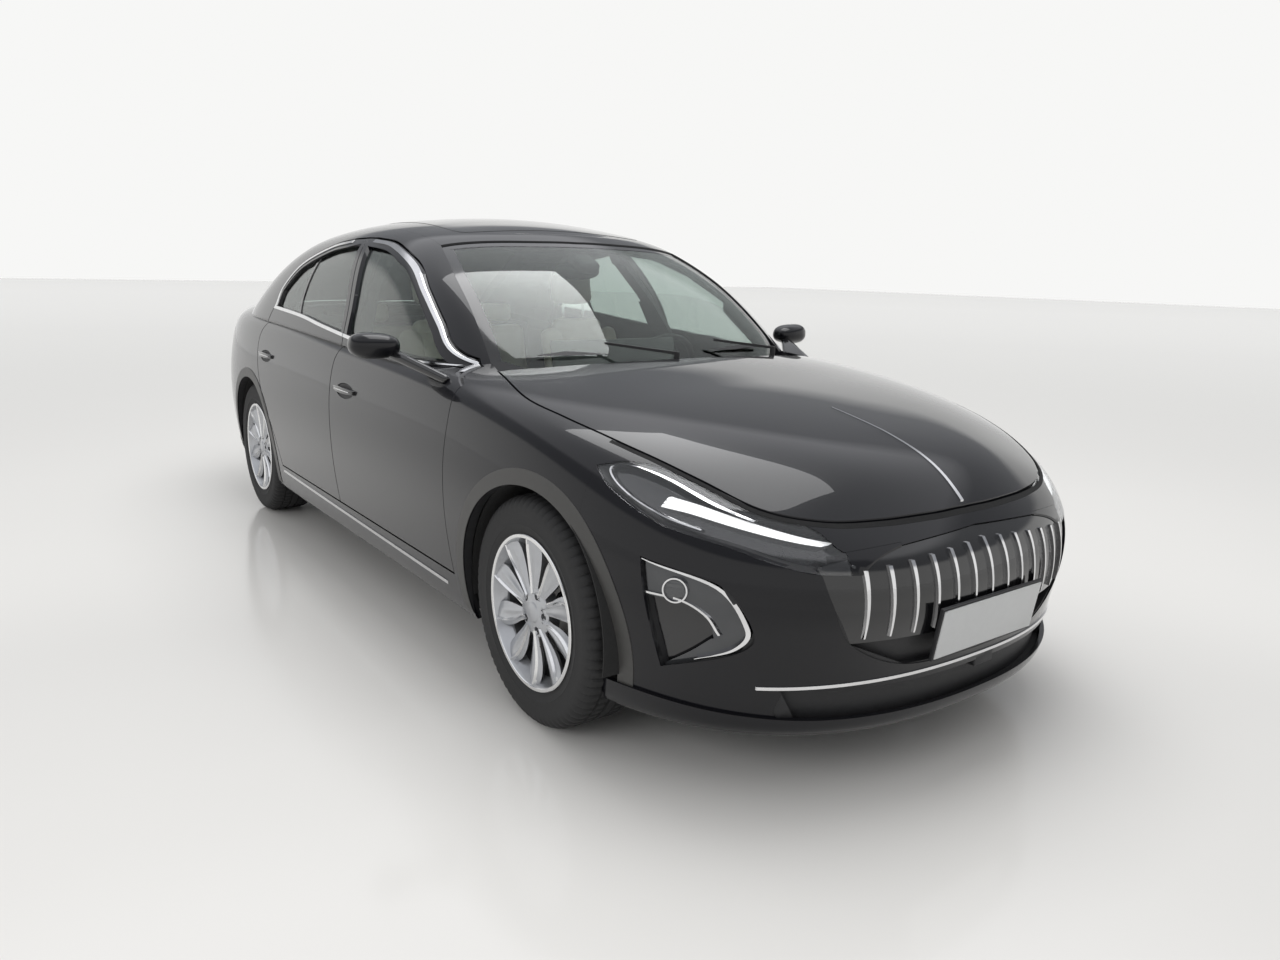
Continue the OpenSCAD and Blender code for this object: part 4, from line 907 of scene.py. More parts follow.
# ---- Mirrors ------------------------------------------------------------------------------
# Two-part moulded housings in gloss black on a foot screwed to the front doors, with a
# silvered glass set in the rear face.
silver_glass = finish("mirror_silver", (0.8, 0.82, 0.84), (0.86, 0.87, 0.88), 0.03, 8, 1.0, spread=0.01)
bpy.ops.mesh.primitive_uv_sphere_add(segments=64, ring_count=32, radius=1)
shell_of_mirror = bpy.context.object
for v in shell_of_mirror.data.vertices:
    c = v.co.copy()
    c = Vector([math.copysign(abs(k) ** 0.8, k) for k in c])
    tip = (1 - c.y) / 2
    v.co = Vector((0.672 + max(c.x, -0.55) * 0.062 - 0.012 * tip, -1.018 + c.y * 0.088,
                   1.068 + c.z * (0.05 - 0.008 * (1 - tip)) + 0.004 * tip))
bpy.ops.mesh.primitive_uv_sphere_add(segments=24, ring_count=12, radius=0.02, location=(0.7, -0.96, 1.04))
stalk = [bpy.context.object]
for spot in ((0.93, -0.874, 0.974), (0.8, -0.874, 0.984)):
    bpy.ops.mesh.primitive_uv_sphere_add(segments=24, ring_count=12, radius=0.016, location=spot)
    stalk.append(bpy.context.object)
pick(*stalk)
bpy.ops.object.join()
foot = settled()
bpy.ops.object.mode_set(mode="EDIT")
bpy.ops.mesh.select_all(action="SELECT")
bpy.ops.mesh.convex_hull()
bpy.ops.object.mode_set(mode="OBJECT")
carve(foot, trim_lower, keep=True)
carve(foot, trim_cabin, keep=True)
pane_of_mirror = copy_of(shell_of_mirror, "pane_of_mirror")
for v in pane_of_mirror.data.vertices:
    v.co = Vector((0.6352 + (v.co.x - 0.672) * 0.02, -1.018 + (v.co.y + 1.018) * 0.86,
                   1.068 + (v.co.z - 1.068) * 0.84))
both_sides(pane_of_mirror, "mirror_glass_%s", "front_door_%s", silver_glass, 60)
both_sides(foot, "mirror_foot_%s", "front_door_%s", gloss, 60)
both_sides(shell_of_mirror, "mirror_cover_%s", "front_door_%s", paint, 50)
for hand in ("left", "right"):
    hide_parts(f"mirror_{hand}")

# ---- Wheels -------------------------------------------------------------------------------
# Cast alloy rims with ten petal spokes, machined bright on the ridges and the lip, carry
# rubber tyres. Each turns with its brake disc on the hub, and five nuts hold it.
def turned(name, profile, steps=96):
    """A closed ring spun about the car's cross axis from a profile of radius and y"""
    mesh = bpy.data.meshes.new(name)
    k = len(profile)
    mesh.from_pydata([(0, y / 1000, r / 1000) for r, y in profile], [(i, (i + 1) % k) for i in range(k)], [])
    obj = bpy.data.objects.new(name, mesh)
    scene.collection.objects.link(obj)
    pick(obj)
    bpy.ops.object.mode_set(mode="EDIT")
    bpy.ops.mesh.select_all(action="SELECT")
    bpy.ops.mesh.spin(steps=steps, angle=2 * math.pi, center=(0, 0, 0), axis=(0, 1, 0))
    bpy.ops.mesh.select_all(action="SELECT")
    bpy.ops.mesh.remove_doubles(threshold=0.00001)
    bpy.ops.mesh.normals_make_consistent(inside=False)
    bpy.ops.object.mode_set(mode="OBJECT")
    return obj


alloy = finish("painted_alloy", (0.42, 0.43, 0.45), (0.52, 0.53, 0.55), 0.3, 30, 0.75, coat=0.4, spread=0.06)
bright = finish("machined_alloy", (0.74, 0.74, 0.74), (0.86, 0.86, 0.86), 0.18, 60, 1.0, spread=0.05)
dark_alloy = finish("dark_barrel", (0.1, 0.1, 0.105), (0.15, 0.15, 0.155), 0.45, 40, 0.6)
rubber = finish("tyre_rubber", (0.013, 0.013, 0.013), (0.026, 0.026, 0.027), 0.72, 50, bump=0.18)
iron = finish("brake_iron", (0.28, 0.27, 0.26), (0.42, 0.41, 0.4), 0.4, 120, 0.9)

tread = [(350.5, 62), (349, 80), (345, 92), (338, 101), (330, 107), (318, 111), (300, 112.5), (270, 109.5),
         (266, 111), (262, 109), (257, 108), (246, 103), (239, 101), (229, 98), (229, 84), (253, 88),
         (287, 100), (322, 94), (334, 76)]
tyre_profile = [(352, -13), (352, 13), (345, 15), (345, 22), (352, 24), (351.5, 52), (344, 54),
                (344, 60)] + tread
tyre_profile += [(r, -y) for r, y in tread[::-1]] + [(344, -60), (344, -54), (351.5, -52), (352, -24),
                                                     (345, -22), (345, -15)]
tyre = turned("tyre", tyre_profile, 288)
for v in tyre.data.vertices:
    r = math.hypot(v.co.x, v.co.z)
    step = round(math.atan2(v.co.x, v.co.z) / (2 * math.pi) * 288) % 288
    y = abs(v.co.y)
    on_shoulder = r > 0.328 and 0.0615 < y < 0.108 and step % 4 == 0
    on_crown = r > 0.348 and 0.023 < y < 0.053 and step % 4 == 2
    if on_shoulder or on_crown:
        v.co.x *= (r - 0.006) / r
        v.co.z *= (r - 0.006) / r
tyre.data.materials.append(rubber)

rim = turned("rim", [(219, -108), (238, -108), (238, -101), (229, -98), (229, -80), (211, -60), (211, 60),
                     (229, 80), (229, 98),
                     (238, 101), (238, 106), (236, 108), (227, 108), (225, 106), (223, 94), (207, 68),
                     (203, 60), (203, -64), (219, -84)], 120)
for m in (alloy, bright, dark_alloy):
    rim.data.materials.append(m)
for f in rim.data.polygons:
    r = math.hypot(f.center.x, f.center.z)
    f.material_index = 1 if f.center.y > 0.1 and r > 0.2235 else 2 if f.center.y < 0.062 else 0
bpy.ops.mesh.primitive_grid_add(x_subdivisions=26, y_subdivisions=28, size=2)
petal = bpy.context.object
petal_foot, petal_run = 56, 171  # radius where a petal starts, and its length
for v in petal.data.vertices:
    u, t = (v.co.x + 1) / 2, v.co.y
    r = petal_foot + petal_run * u
    half = 13 + 25 * math.sin(min(u / 0.82, 1) * math.pi / 2) ** 1.4 - 7 * max(u - 0.82, 0) / 0.18
    d = t + 0.5
    rise = 6.5 * math.exp(-(d / 0.11) ** 2)
    fall = -13 * (d / 1.5) ** 1.2 if d > 0 else -11 * (-d / 0.5) ** 1.3
    belly = 5 * math.exp(-((t - 0.35) / 0.3) ** 2) * math.sin(math.pi * u)
    lift = 88 + 12 * u - 5 * math.sin(math.pi * u)
    v.co = Vector(((half * t - 5 * math.sin(math.pi * u)) / 1000,
                   (lift + rise + fall * min(1, 0.25 + u) + belly) / 1000, r / 1000))
pick(petal)
bpy.ops.object.mode_set(mode="EDIT")
bpy.ops.mesh.select_all(action="SELECT")
bpy.ops.mesh.normals_make_consistent(inside=False)
bpy.ops.object.mode_set(mode="OBJECT")
if sum(f.normal.y for f in petal.data.polygons) < 0:
    petal.data.flip_normals()
for m in (alloy, bright, dark_alloy):
    petal.data.materials.append(m)
for f in petal.data.polygons:
    u = (f.center.z * 1000 - petal_foot) / petal_run
    half = 13 + 25 * math.sin(min(max(u, 0) / 0.82, 1) * math.pi / 2) ** 1.4
    t = (f.center.x * 1000 + 5 * math.sin(math.pi * u)) / half
    if abs(t + 0.5) < 0.13:
        f.material_index = 1
finished(petal, "SOLIDIFY", thickness=0.016, offset=-1, material_offset_rim=0)
petals = [petal]
for i in range(1, 10):
    more = copy_of(petal, "petal")
    more.data.transform(Matrix.Rotation(i * math.pi / 5, 4, "Y"))
    petals.append(more)
hub = turned("hub", [(0.01, 96), (26, 95.5), (30, 93.5), (32, 91), (36, 90), (72, 87), (78, 82), (78, 44),
                     (0.01, 44)], 64)
for m in (alloy, bright, dark_alloy):
    hub.data.materials.append(m)
nuts = []
for i in range(5):
    a = i * math.tau / 5 + 0.31
    spot = (0.057 * math.sin(a), 0.088, 0.057 * math.cos(a))
    bpy.ops.mesh.primitive_cylinder_add(vertices=32, radius=0.0125, depth=0.04, location=spot,
                                        rotation=(math.pi / 2, 0, 0))
    bore = settled()
    carve(hub, bore)
    bpy.ops.mesh.primitive_cylinder_add(vertices=6, radius=0.0095, depth=0.016,
                                        location=(spot[0], 0.0755, spot[2]), rotation=(math.pi / 2, 0, 0))
    nut = settled(0.0012, 2)
    nut.data.materials.append(dark_alloy)
    nuts.append(nut)
disc = turned("disc", [(42, -14), (160, -14), (162, -16), (162, -34), (160, -36), (42, -36)], 96)
disc.data.materials.append(iron)
pick(rim, hub, *petals, *nuts)
bpy.ops.object.join()
pick(rim)
bpy.ops.object.shade_smooth_by_angle(angle=math.radians(38))
pick(tyre)
bpy.ops.object.shade_smooth_by_angle(angle=math.radians(35))
pick(disc)
bpy.ops.object.shade_smooth_by_angle(angle=math.radians(35))
for end, x in (("front", axle_f), ("rear", axle_r)):
    for hand in ("left", "right"):
        for part, label, slot_name in ((tyre, "tyre", "tyre_rubber"), (rim, "rim", "silver_rim"),
                                       (disc, "disc", "cast_metal")):
            new = copy_of(part, f"{label}_{end}_{hand}_wheel")
            new.data.transform(Matrix.Translation((x / 1000, wheel_y / 1000, tyre_r / 1000)))
            if hand == "right":
                new.data.transform(Matrix.Diagonal((1, -1, 1, 1)))
                new.data.flip_normals()
            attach(new, f"wheel_{end}_{hand}")
            if label != "disc":
                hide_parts(f"{label}_{end}_{hand}")
for o in (tyre, rim, disc):
    bpy.data.objects.remove(o)

# ---- Headlamps ----------------------------------------------------------------------------
# A clear moulded cover lies flush with the wing over a deep black housing, with a bright
# contour line round the lamp units and a white light guide that tapers to the front.
clear = bpy.data.materials.new("clear_lens")
clear.use_nodes = True
cn, cl = clear.node_tree.nodes, clear.node_tree.links
cb = cn["Principled BSDF"]
cb.inputs["Base Color"].default_value = (0.9, 0.91, 0.92, 1)
cb.inputs["Metallic"].default_value = 1.0
haze, haze_at, haze_range = (cn.new(f"ShaderNode{kind}") for kind in ("TexNoise", "TexCoord", "MapRange"))
haze.inputs["Scale"].default_value = 7
haze_range.inputs["To Max"].default_value = 0.05
edge, steep, share = cn.new("ShaderNodeLayerWeight"), cn.new("ShaderNodeMath"), cn.new("ShaderNodeMath")
steep.operation, share.operation = "POWER", "MULTIPLY_ADD"
steep.inputs[1].default_value = 4
share.inputs[1].default_value, share.inputs[2].default_value = 0.85, 0.035
cl.new(haze_at.outputs["Object"], haze.inputs["Vector"])
cl.new(haze.outputs["Fac"], haze_range.inputs["Value"])
cl.new(haze_range.outputs["Result"], cb.inputs["Roughness"])
cl.new(edge.outputs["Facing"], steep.inputs[0])
cl.new(steep.outputs[0], share.inputs[0])
cl.new(share.outputs[0], cb.inputs["Alpha"])
smoke = finish("smoked_grey", (0.05, 0.052, 0.056), (0.085, 0.088, 0.092), 0.16, 12, 0.5, coat=0.5,
               spread=0.05)
white = mottled("white_light_guide", (0.82, 0.84, 0.86), (1, 1, 1), "Wave", 60,
                **{"Roughness": 0.25, "Emission Strength": 0.45})


def layer(a, b, name="layer"):
    """A skin of the lower body between two depths under its surface"""
    obj = form("lower", a)
    obj.name = name
    return carve(obj, form("lower", b))


cover_skin = layer(0.2, 3.2, "cover_skin")
guide_skin = layer(7, 13, "guide_skin")
house_skin = layer(24, 30, "house_skin")
lamp_area = slab(lamp_line, "side", -1100, -300, -0.7)
carve(lamp_area, slab(hood_edge, "plan", 500, 1700, shut / 2 + 0.6))
lamp_front = slab([[-470, 0], [-470, 1200], [-1100, 1200], [-1100, 0]], "front", 1500, 2700)
cover = copy_of(cover_skin, "cover")
carve(cover, lamp_area, "INTERSECT", keep=True)
fascia = copy_of(cover, "fascia")
carve(cover, lamp_front, "INTERSECT", keep=True)
carve(fascia, lamp_front)
housing = copy_of(house_skin, "housing")
carve(housing, lamp_area, "INTERSECT", keep=True)
eye = ribbon(rounded([[2225, 746], [2130, 781], [2015, 822], [1905, 846], [1858, 838], [1885, 812],
                      [1960, 776], [2060, 742], [2150, 722]]),
             -1.6, 1.6)
carve(eye, lamp_area, "INTERSECT", keep=True)
carve(eye, guide_skin, "INTERSECT", keep=True)
guide_line = rounded([[2042, 775], [2120, 762], [2225, 733], [2346, 694]])
run = np.linspace(0, 1, len(guide_line))
wide = 19 * (1 - run) ** 0.9 + 4
guide = ribbon(guide_line, -0.5 * wide, -0.22 * wide)
carve(guide, ribbon(guide_line, -0.12 * wide, 0.14 * wide), "UNION")
carve(guide, ribbon(guide_line, 0.24 * wide, 0.5 * wide), "UNION")
carve(guide, guide_skin, "INTERSECT", keep=True)
both_sides(cover, "headlamp_cover_%s", "body", clear)
both_sides(fascia, "lamp_filler_%s", "body", paint)
both_sides(housing, "headlamp_housing_%s", "body", gloss)
both_sides(eye, "headlamp_line_%s", "body", chrome)
both_sides(guide, "light_guide_%s", "body", white)
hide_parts("front_lamps")

# ---- Corner units -------------------------------------------------------------------------
# Smoked panels set back in the bumper's corners hold the fog lamps. A bright moulding hooks
# round their top and front, and a thinner one curves down inside.
unit_area = slab(unit_line, "side", -1100, -600, -0.6)
recess = copy_of(house_skin, "recess")
carve(recess, unit_area, "INTERSECT", keep=True)
smoked = layer(13, 19, "smoked")
carve(smoked, unit_area, "INTERSECT", keep=True)
hollow_line = rounded([[2020, 540], [2140, 534], [2196, 496], [2206, 450]])
hollow_line += rounded([[2200, 448], [2150, 402], [2080, 350]])
hollow = slab(hollow_line, "side", -1100, -600)
carve(smoked, hollow, keep=True)
hook_line = rounded([[2036, 636], [2222, 594], [2284, 490], [2256, 426], [2170, 386]])
run = np.linspace(0, 1, len(hook_line))
hook = ribbon(hook_line, -3 - 7 * np.sin(np.pi * np.clip(run * 1.1, 0, 1)) ** 0.7, -1.2)
hook_skin = layer(3, 15, "hook_skin")
carve(hook, hook_skin, "INTERSECT", keep=True)
thin = ribbon(rounded([[2048, 548], [2140, 543], [2196, 512], [2222, 462]]), -2.6, 2.6)
carve(thin, layer(7, 16, "thin_skin"), "INTERSECT")
both_sides(recess, "corner_recess_%s", "body", gloss)
both_sides(smoked, "corner_panel_%s", "body", smoke)
both_sides(hook, "corner_moulding_%s", "body", chrome)
both_sides(thin, "corner_line_%s", "body", chrome)
bpy.data.objects.remove(hollow)
aim = Vector((0.62, -0.78, 0.02)).normalized()
spot = skin_tree.find_nearest(Vector((2.129, -0.805, 0.568)))[0] - aim * 0.012
turn = Vector((0, 0, 1)).rotation_difference(aim).to_euler()
bpy.ops.mesh.primitive_cylinder_add(vertices=64, radius=0.033, depth=0.022, location=spot, rotation=turn)
barrel = settled()
bpy.ops.object.mode_set(mode="EDIT")
bpy.ops.mesh.select_all(action="DESELECT")
bpy.ops.object.mode_set(mode="OBJECT")
front_cap = max(barrel.data.polygons, key=lambda f: (f.center - spot).dot(aim))
front_cap.select = True
bpy.ops.object.mode_set(mode="EDIT")
bpy.ops.mesh.select_mode(type="FACE")
bpy.ops.mesh.inset(thickness=0.004)
bpy.ops.mesh.extrude_region_move(TRANSFORM_OT_translate={"value": tuple(-aim * 0.008)})
bpy.ops.object.mode_set(mode="OBJECT")
bpy.ops.mesh.primitive_uv_sphere_add(segments=48, ring_count=24, radius=1, location=(0, 0, 0),
                                     scale=(0.0275, 0.0275, 0.011))
ball = settled()
ball.data.transform(Matrix.Translation(spot + aim * 0.004) @ turn.to_matrix().to_4x4())
both_sides(barrel, "fog_lamp_barrel_%s", "body", chrome)
both_sides(ball, "fog_lamp_glass_%s", "body", clear, 60)
for hand, side in (("right", 1), ("left", -1)):
    drum = bpy.data.objects[f"fog_lamp_barrel_{hand}"].data
    drum.materials.append(smoke)
    for f in drum.polygons:
        off = Vector((f.center.x, side * f.center.y, f.center.z)) - spot
        f.material_index = int((off - off.dot(aim) * aim).length < 0.027)

# ---- Grille and lower front ---------------------------------------------------------------
# Thirteen bright blades, narrower at their feet, stand on a gloss black panel. Below it the
# bumper opens, with a blank number plate, a square sensor block and a bright lower strip.
panel_skin = layer(5, 13, "panel_skin")
plate_panel = slab(grille_edge, "front", 1900, 2800, -0.6)
carve(plate_panel, block(1900, 2800, -900, 900, 446, 900), "INTERSECT")
carve(plate_panel, panel_skin, "INTERSECT", keep=True)
backing = slab(grille_edge, "front", 1900, 2800, 8)
carve(backing, slab(intake_edge, "front", 1900, 2800, 8), "UNION")
carve(backing, house_skin, "INTERSECT", keep=True)
blade_skin = layer(-3, 9, "blade_skin")
blades = None
for i in range(13):
    y = (i - 6) * 73
    high_z = 668 - abs(y) * 0.07
    one = slab([[y - 6, high_z], [y + 6, high_z], [y + 2.4, 460], [y - 2.4, 460]], "front", 1900, 2800)
    carve(one, blade_skin, "INTERSECT", keep=True)
    if blades is None:
        blades = one
    else:
        pick(blades, one)
        bpy.ops.object.join()
        blades = bpy.context.object
dot_turns = np.linspace(0, math.tau, 20, endpoint=False)
eye_dot = slab([[-466 + 4 * math.cos(a), 648 + 4 * math.sin(a)] for a in dot_turns], "front", 1900, 2800)
carve(eye_dot, blade_skin, "INTERSECT", keep=True)
piece(plate_panel, "grille_panel", "body", gloss)
piece(backing, "grille_backing", "body", dull)
piece(blades, "grille_blades", "body", chrome)
piece(eye_dot, "sensor_dot", "body", smoke)
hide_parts("grille")
front_lip = slab(rounded([[1870, 268], [2050, 262], [2250, 246], [2420, 232], [2700, 226]]) + [[2700, 190],
                                                                                               [1870, 190]],
                 "side", -1100, 1100)
carve(front_lip, layer(-8, 5, "lip_skin"), "INTERSECT")
piece(front_lip, "front_lip", "body", paint)
low_strip = ribbon(rounded([[660, 325], [400, 330], [0, 334], [-400, 330], [-660, 325]]), -4.5, 4.5, "front",
                   1900, 2800)
carve(low_strip, low_trim, "INTERSECT", keep=True)
piece(low_strip, "lower_front_strip", "body", chrome)

blank = finish("blank_plate", (0.6, 0.61, 0.61), (0.66, 0.67, 0.67), 0.35, 40, bump=0.05)
for end, z, body in (("front", 0.446, "body"), ("rear", 0.56, "body")):
    way = 1 if end == "front" else -1
    xs = [skin_tree.ray_cast(Vector((3 * way, 0, z + k)), Vector((-way, 0, 0)))[0].x for k in (-0.07, 0,
                                                                                               0.07)]
    pitch_of = math.atan2((xs[0] - xs[2]) * way, 0.14)
    x = way * (max((xs[0] + xs[2]) / 2 * way, xs[1] * way) + 0.008)
    for label, wide, tall, deep, out, coat in (("plate_rim", 0.452, 0.152, 0.01, -0.002, dull),
                                               ("plate", 0.44, 0.14, 0.004, 0.004, blank)):
        bpy.ops.mesh.primitive_cube_add(size=1, location=(x + way * out, -0.005 * (way > 0), z),
                                        scale=(deep, wide, tall),
                                        rotation=(0, -way * pitch_of, 0))
        sign = settled()
        bpy.ops.object.mode_set(mode="EDIT")
        bpy.ops.mesh.select_all(action="DESELECT")
        bpy.ops.object.mode_set(mode="OBJECT")
        face = max(sign.data.polygons, key=lambda f: f.center.x * way)
        face.select = True
        bpy.ops.object.mode_set(mode="EDIT")
        bpy.ops.mesh.select_mode(type="FACE")
        bpy.ops.mesh.inset(thickness=0.006)
        bpy.ops.mesh.extrude_region_move(TRANSFORM_OT_translate={"value": (-way * 0.001, 0, 0)})
        bpy.ops.object.mode_set(mode="OBJECT")
        finished(sign, "BEVEL", width=0.0008, segments=2)
        piece(sign, f"{label}_{end}", body, coat)
bpy.ops.mesh.primitive_cube_add(size=1, location=(2.455, 0.045, 0.322), scale=(0.03, 0.085, 0.062))
block_piece = settled(0.005, 3)
piece(block_piece, "sensor_block", "body", dull)

# ---- Tail lamps and lower rear ------------------------------------------------------------
# Red lenses wrap the corners and meet a slim red bar across the lid. The lower edge of the
# bumper is a grained black moulding under a bright strip.
red = finish("red_lens", (0.2, 0.002, 0.003), (0.33, 0.006, 0.008), 0.12, 15, coat=0.8, spread=0.04)
red_line = mottled("red_light_line", (0.6, 0.01, 0.01), (0.85, 0.03, 0.03), "Wave", 40,
                   **{"Roughness": 0.3, "Emission Strength": 0.25})
lens_skin, bar_skin = layer(-0.5, 6, "lens_skin"), layer(-2.5, 1, "bar_skin")
line_skin = layer(-3.2, -0.2, "line_skin")
tail_area = slab(tail_line, "side", -1100, -300, -0.4)
lens = copy_of(lens_skin, "lens")
carve(lens, tail_area, "INTERSECT", keep=True)
carve(lens, slab(lid_edge, "plan", 500, 1700, shut / 2))
both_sides(lens, "tail_lens_%s", "body", red)
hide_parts("tail_lamps")
bar_shape = block(-2700, -2150, -640, 640, 884, 940)
carve(bar_shape, bar_skin, "INTERSECT", keep=True)
carve(bar_shape, slab(lid_edge, "plan", 500, 1700, -shut / 2 - 1), "INTERSECT")
piece(bar_shape, "rear_light_bar", "trunk_lid", red)
glow = block(-2700, -2150, -620, 620, 908, 916)
carve(glow, line_skin, "INTERSECT", keep=True)
carve(glow, slab(lid_edge, "plan", 500, 1700, -shut / 2 - 6), "INTERSECT")
piece(glow, "rear_light_line", "trunk_lid", red_line)
skirt = block(-2700, -1790, -900, 900, 150, 318)
carve(skirt, layer(-2, 2, "skirt_skin"), "INTERSECT")
carve_both(skirt, arch(axle_r, 620))
piece(skirt, "rear_skirt", "body", dull)
rear_strip = block(-2700, -2250, -640, 640, 322, 332)
carve(rear_strip, low_trim, "INTERSECT", keep=True)
piece(rear_strip, "lower_rear_strip", "body", chrome)

# ---- Glass borders and roof window --------------------------------------------------------
# A fired black border hides the adhesive round the windshield and the rear window, and a
# dark glass panel is let into the roof.
border_skin = form("cabin", 5.3)
carve(border_skin, form("cabin", 6.3))
for name, edge, low in (("windshield", shield_edge, 975), ("rear_window", rear_edge, 1112)):
    frit = slab(edge, "plan", low, 1700, -0.5)
    carve(frit, slab(edge, "plan", low - 50, 1750, -42))
    carve(frit, border_skin, "INTERSECT", keep=True)
    piece(frit, f"{name}_border", "body", gloss)
roof_glass = slab(whole(rounded([[235, 0], [225, -250], [205, -430], [150, -470]]),
                        rounded([[148, -471], [-400, -476], [-930, -440]]),
                        rounded([[-970, -400], [-990, -200], [-995, 0]])), "plan", 1200, 1700)
roof_layer = form("cabin", -1.2)
carve(roof_layer, form("cabin", 1.5))
carve(roof_glass, roof_layer, "INTERSECT")
piece(roof_glass, "roof_window", "body", gloss)
bpy.data.objects.remove(border_skin)

# ---- Seats --------------------------------------------------------------------------------
# Foam cushions in cream leather, with raised side bolsters and sewn seams, on plain frames.
# The leather is pulled over the foam, so each cushion swells between its seams.
leather = finish("cream_leather", (0.56, 0.5, 0.42), (0.66, 0.6, 0.51), 0.42, 35, bump=0.3)


def swollen(obj, cap):
    """Remeshes a cushion and lets cloth pressure fill it, no further than the cap"""
    finished(obj, "REMESH", mode="VOXEL", voxel_size=0.006)
    start = np.empty(len(obj.data.vertices) * 3, np.float32)
    obj.data.vertices.foreach_get("co", start)
    bpy.ops.object.modifier_add(type="CLOTH")
    cloth = obj.modifiers[-1]
    cloth.settings.use_pressure = True
    cloth.settings.uniform_pressure_force = 4
    cloth.settings.effector_weights.gravity = 0
    cloth.settings.quality = 2
    for f in range(1, 21):
        scene.frame_set(f)
    bpy.ops.object.modifier_apply(modifier=cloth.name)
    end = np.empty(len(obj.data.vertices) * 3, np.float32)
    obj.data.vertices.foreach_get("co", end)
    move = (end - start).reshape(-1, 3)
    far = np.linalg.norm(move, axis=1, keepdims=True)
    end = start + (move * np.minimum(1, cap / np.maximum(far, 1e-9))).ravel()
    obj.data.vertices.foreach_set("co", end)
    scene.frame_set(1)
    finished(obj, "SMOOTH", iterations=3)
    bpy.ops.object.shade_smooth()
    return obj


def pad(place, size, tilt, round_off):
    """A block of foam with rounded edges, turned about the cross axis"""
    bpy.ops.mesh.primitive_cube_add(size=1, location=place, scale=size, rotation=(0, tilt, 0))
    foam = settled(round_off, 5)
    return foam


def cushion(parts, name, cap):
    pads = [pad(*p) for p in parts]
    pick(*pads)
    bpy.ops.object.join()
    one = bpy.context.object
    swollen(one, cap)
    one.name = name
    one.data.materials.clear()
    one.data.materials.append(leather)
    return one


tilt = -math.atan2(170, 560)
front_cushion = cushion([((0.2, 0, 0.49), (0.46, 0.3, 0.11), 0.05, 0.04),
                         ((0.2, 0.19, 0.5), (0.44, 0.1, 0.12), 0.05, 0.045),
                         ((0.2, -0.19, 0.5), (0.44, 0.1, 0.12), 0.05, 0.045)],
                        "front_cushion", 0.022)
front_back = cushion([((-0.14, 0, 0.84), (0.09, 0.28, 0.56), tilt, 0.04),
                      ((-0.125, 0.17, 0.82), (0.11, 0.09, 0.5), tilt, 0.045),
                      ((-0.125, -0.17, 0.82), (0.11, 0.09, 0.5), tilt, 0.045)],
                     "front_back", 0.022)
front_head = cushion([((-0.262, 0, 1.25), (0.075, 0.22, 0.15), tilt * 0.6, 0.03)], "front_head", 0.012)
for hand, y in (("left", 0.37), ("right", -0.37)):
    for part, label in ((front_cushion, "cushion"), (front_back, "backrest"), (front_head, "headrest")):
        new = copy_of(part, f"front_{label}_{hand}")
        new.data.transform(Matrix.Translation((0, y, 0)))
        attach(new, "body")
    bpy.ops.mesh.primitive_cube_add(size=1, location=(0.19, y, 0.385), scale=(0.46, 0.4, 0.124))
    base = settled(0.02, 3)
    piece(base, f"front_seat_base_{hand}", "body", dull)
    for k in (-0.06, 0.06):
        bpy.ops.mesh.primitive_cylinder_add(vertices=24, radius=0.007, depth=0.12,
                                            location=(-0.243, y + k, 1.135))
        post = settled(0.001, 2, limit_method="ANGLE")
        piece(post, f"headrest_post_{hand}_{'a' if k < 0 else 'b'}", "body", chrome)
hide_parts("front_seats")
bench = cushion([((-0.7, 0.31, 0.485), (0.42, 0.56, 0.12), 0.04, 0.045),
                 ((-0.7, -0.31, 0.485), (0.42, 0.56, 0.12), 0.04, 0.045),
                 ((-0.7, 0, 0.485), (0.41, 0.1, 0.11), 0.04, 0.04)], "bench_cushion", 0.022)
bench_back = cushion([((-1.04, 0.3, 0.78), (0.09, 0.5, 0.5), -0.28, 0.045),
                      ((-1.04, -0.3, 0.78), (0.09, 0.5, 0.5), -0.28, 0.045),
                      ((-1.04, 0, 0.78), (0.085, 0.12, 0.48), -0.28, 0.04)], "bench_backrest", 0.02)
head_left = cushion([((-1.115, 0.37, 1.09), (0.06, 0.2, 0.1), -0.1, 0.028)], "bench_headrest_left", 0.01)
heads = [head_left, other_side(head_left, "bench_headrest_right")]
for part in (bench, bench_back, *heads):
    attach(part, "body")
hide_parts("rear_bench")
for o in (front_cushion, front_back, front_head):
    bpy.data.objects.remove(o)

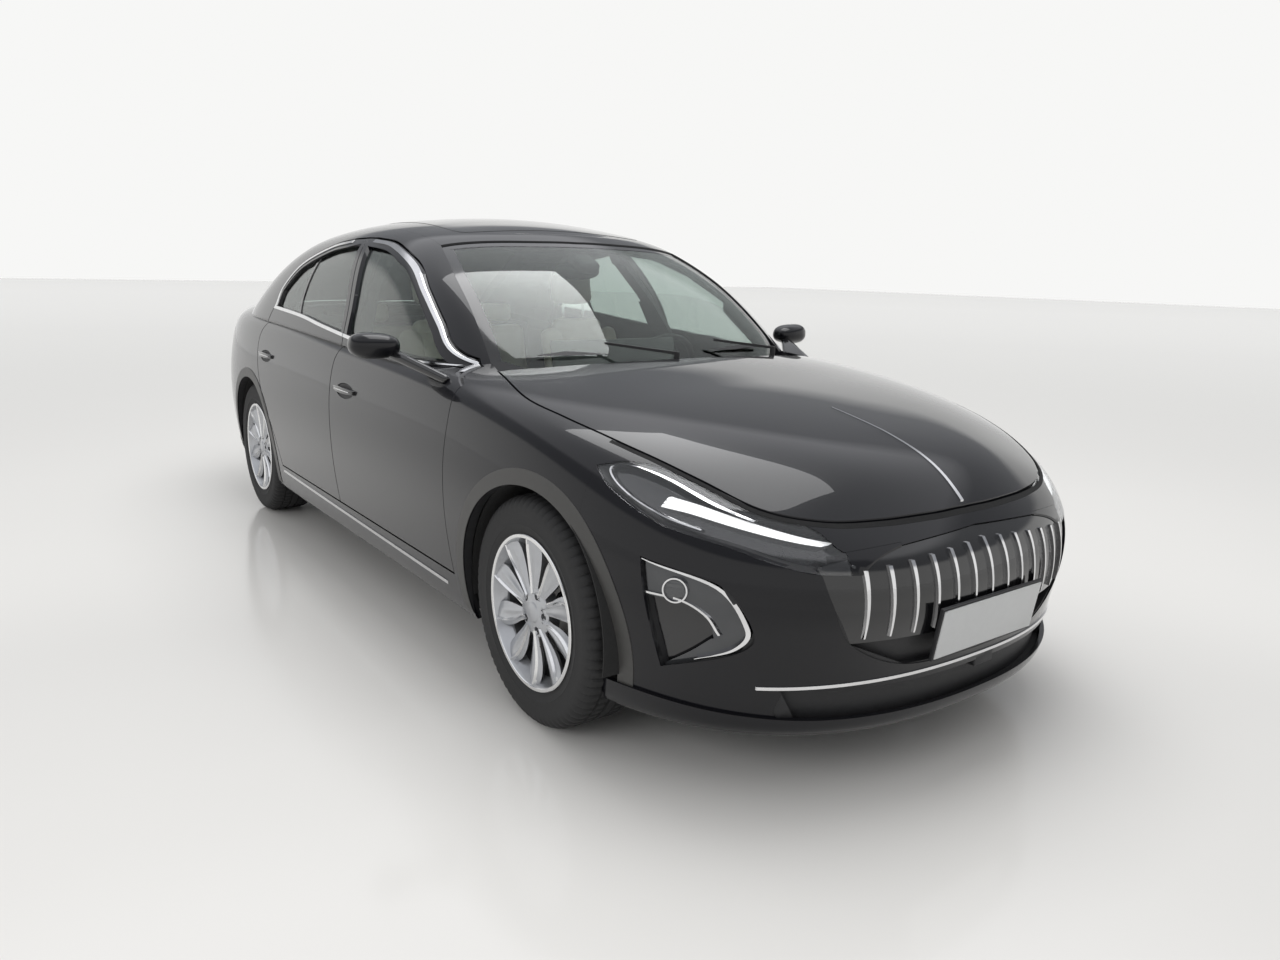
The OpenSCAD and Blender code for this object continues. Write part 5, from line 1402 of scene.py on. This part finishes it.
# ---- Dashboard, steering wheel and inside mirror ------------------------------------------
# A soft moulded dashboard, a leather wheel on its column, a wide screen, and a mirror hung
# from the windshield with its sensor housing.
soft_black = finish("soft_dash", (0.016, 0.015, 0.015), (0.03, 0.029, 0.028), 0.6, 45, bump=0.35)
for name, coat in (("dashboard", soft_black), ("steering_wheel", soft_black)):
    nodes[name].data.materials.clear()
    nodes[name].data.materials.append(coat)
bpy.ops.mesh.primitive_cube_add(size=1, location=(0.655, 0.02, 1.0), scale=(0.016, 0.62, 0.13),
                                rotation=(0, -0.22, 0))
screen = settled(0.006, 3)
piece(screen, "dash_screen", "body", gloss)
bpy.ops.mesh.primitive_uv_sphere_add(segments=48, ring_count=24, radius=1, location=(0.37, 0, 1.335),
                                     scale=(0.022, 0.12, 0.036))
inside_mirror = settled()
bpy.ops.mesh.primitive_cube_add(size=1, location=(0.43, 0, 1.372), scale=(0.13, 0.1, 0.05),
                                rotation=(0, 0.42, 0))
sensor = settled(0.02, 4)
for v in inside_mirror.data.vertices:
    v.co.x = max(v.co.x, 0.362)
carve(inside_mirror, sensor, "UNION")
inner_air = form("cabin", 12, 50, 40)
carve(inside_mirror, inner_air, "INTERSECT")
piece(inside_mirror, "inside_mirror", "body", dull, 50)

# ---- Frame, suspension and other hidden parts ---------------------------------------------
# The floor, bulkhead, trunk box and wheel-arch liners stay as the CAD made them, in coated
# sheet or felted plastic; the axles' arms are cast or forged, and the hubs machined.
coated = finish("coated_floor_sheet", (0.035, 0.036, 0.038), (0.06, 0.06, 0.062), 0.6, 12, bump=0.2)
felt = finish("arch_felt", (0.012, 0.012, 0.012), (0.03, 0.03, 0.03), 0.9, 160, bump=0.6)
cast = finish("cast_hub", (0.3, 0.3, 0.31), (0.42, 0.42, 0.43), 0.45, 50, 0.85, bump=0.2)
forged = finish("forged_arm", (0.05, 0.05, 0.052), (0.085, 0.085, 0.088), 0.5, 35, 0.4, bump=0.15)
case = finish("motor_case", (0.42, 0.43, 0.44), (0.55, 0.56, 0.57), 0.42, 25, 0.8, bump=0.2)
for names, coat in ((("floor_pan", "trunk_tub", "battery_pack"), coated), (("arch_liners",), felt),
                    (("cowl", "wipers"), dull),
                    (("drive_unit",), case), (("front_suspension", "rear_suspension"), forged),
                    (("knuckle_left", "knuckle_right"), cast)):
    for name in names:
        nodes[name].data.materials.clear()
        nodes[name].data.materials.append(coat)

for o in (lower, cabin, shell, lower_shell, shape, under_lower, under_cabin, under, pane, door_pane, trim,
          trim_lower,
          trim_cabin, deep_lower, deep_cabin, low_trim, band_skin, cover_skin, guide_skin, house_skin,
          lamp_area, lamp_front,
          unit_area, hook_skin, panel_skin, blade_skin, lens_skin, bar_skin, line_skin, tail_area):
    try:
        bpy.data.objects.remove(o)
    except ReferenceError:
        pass
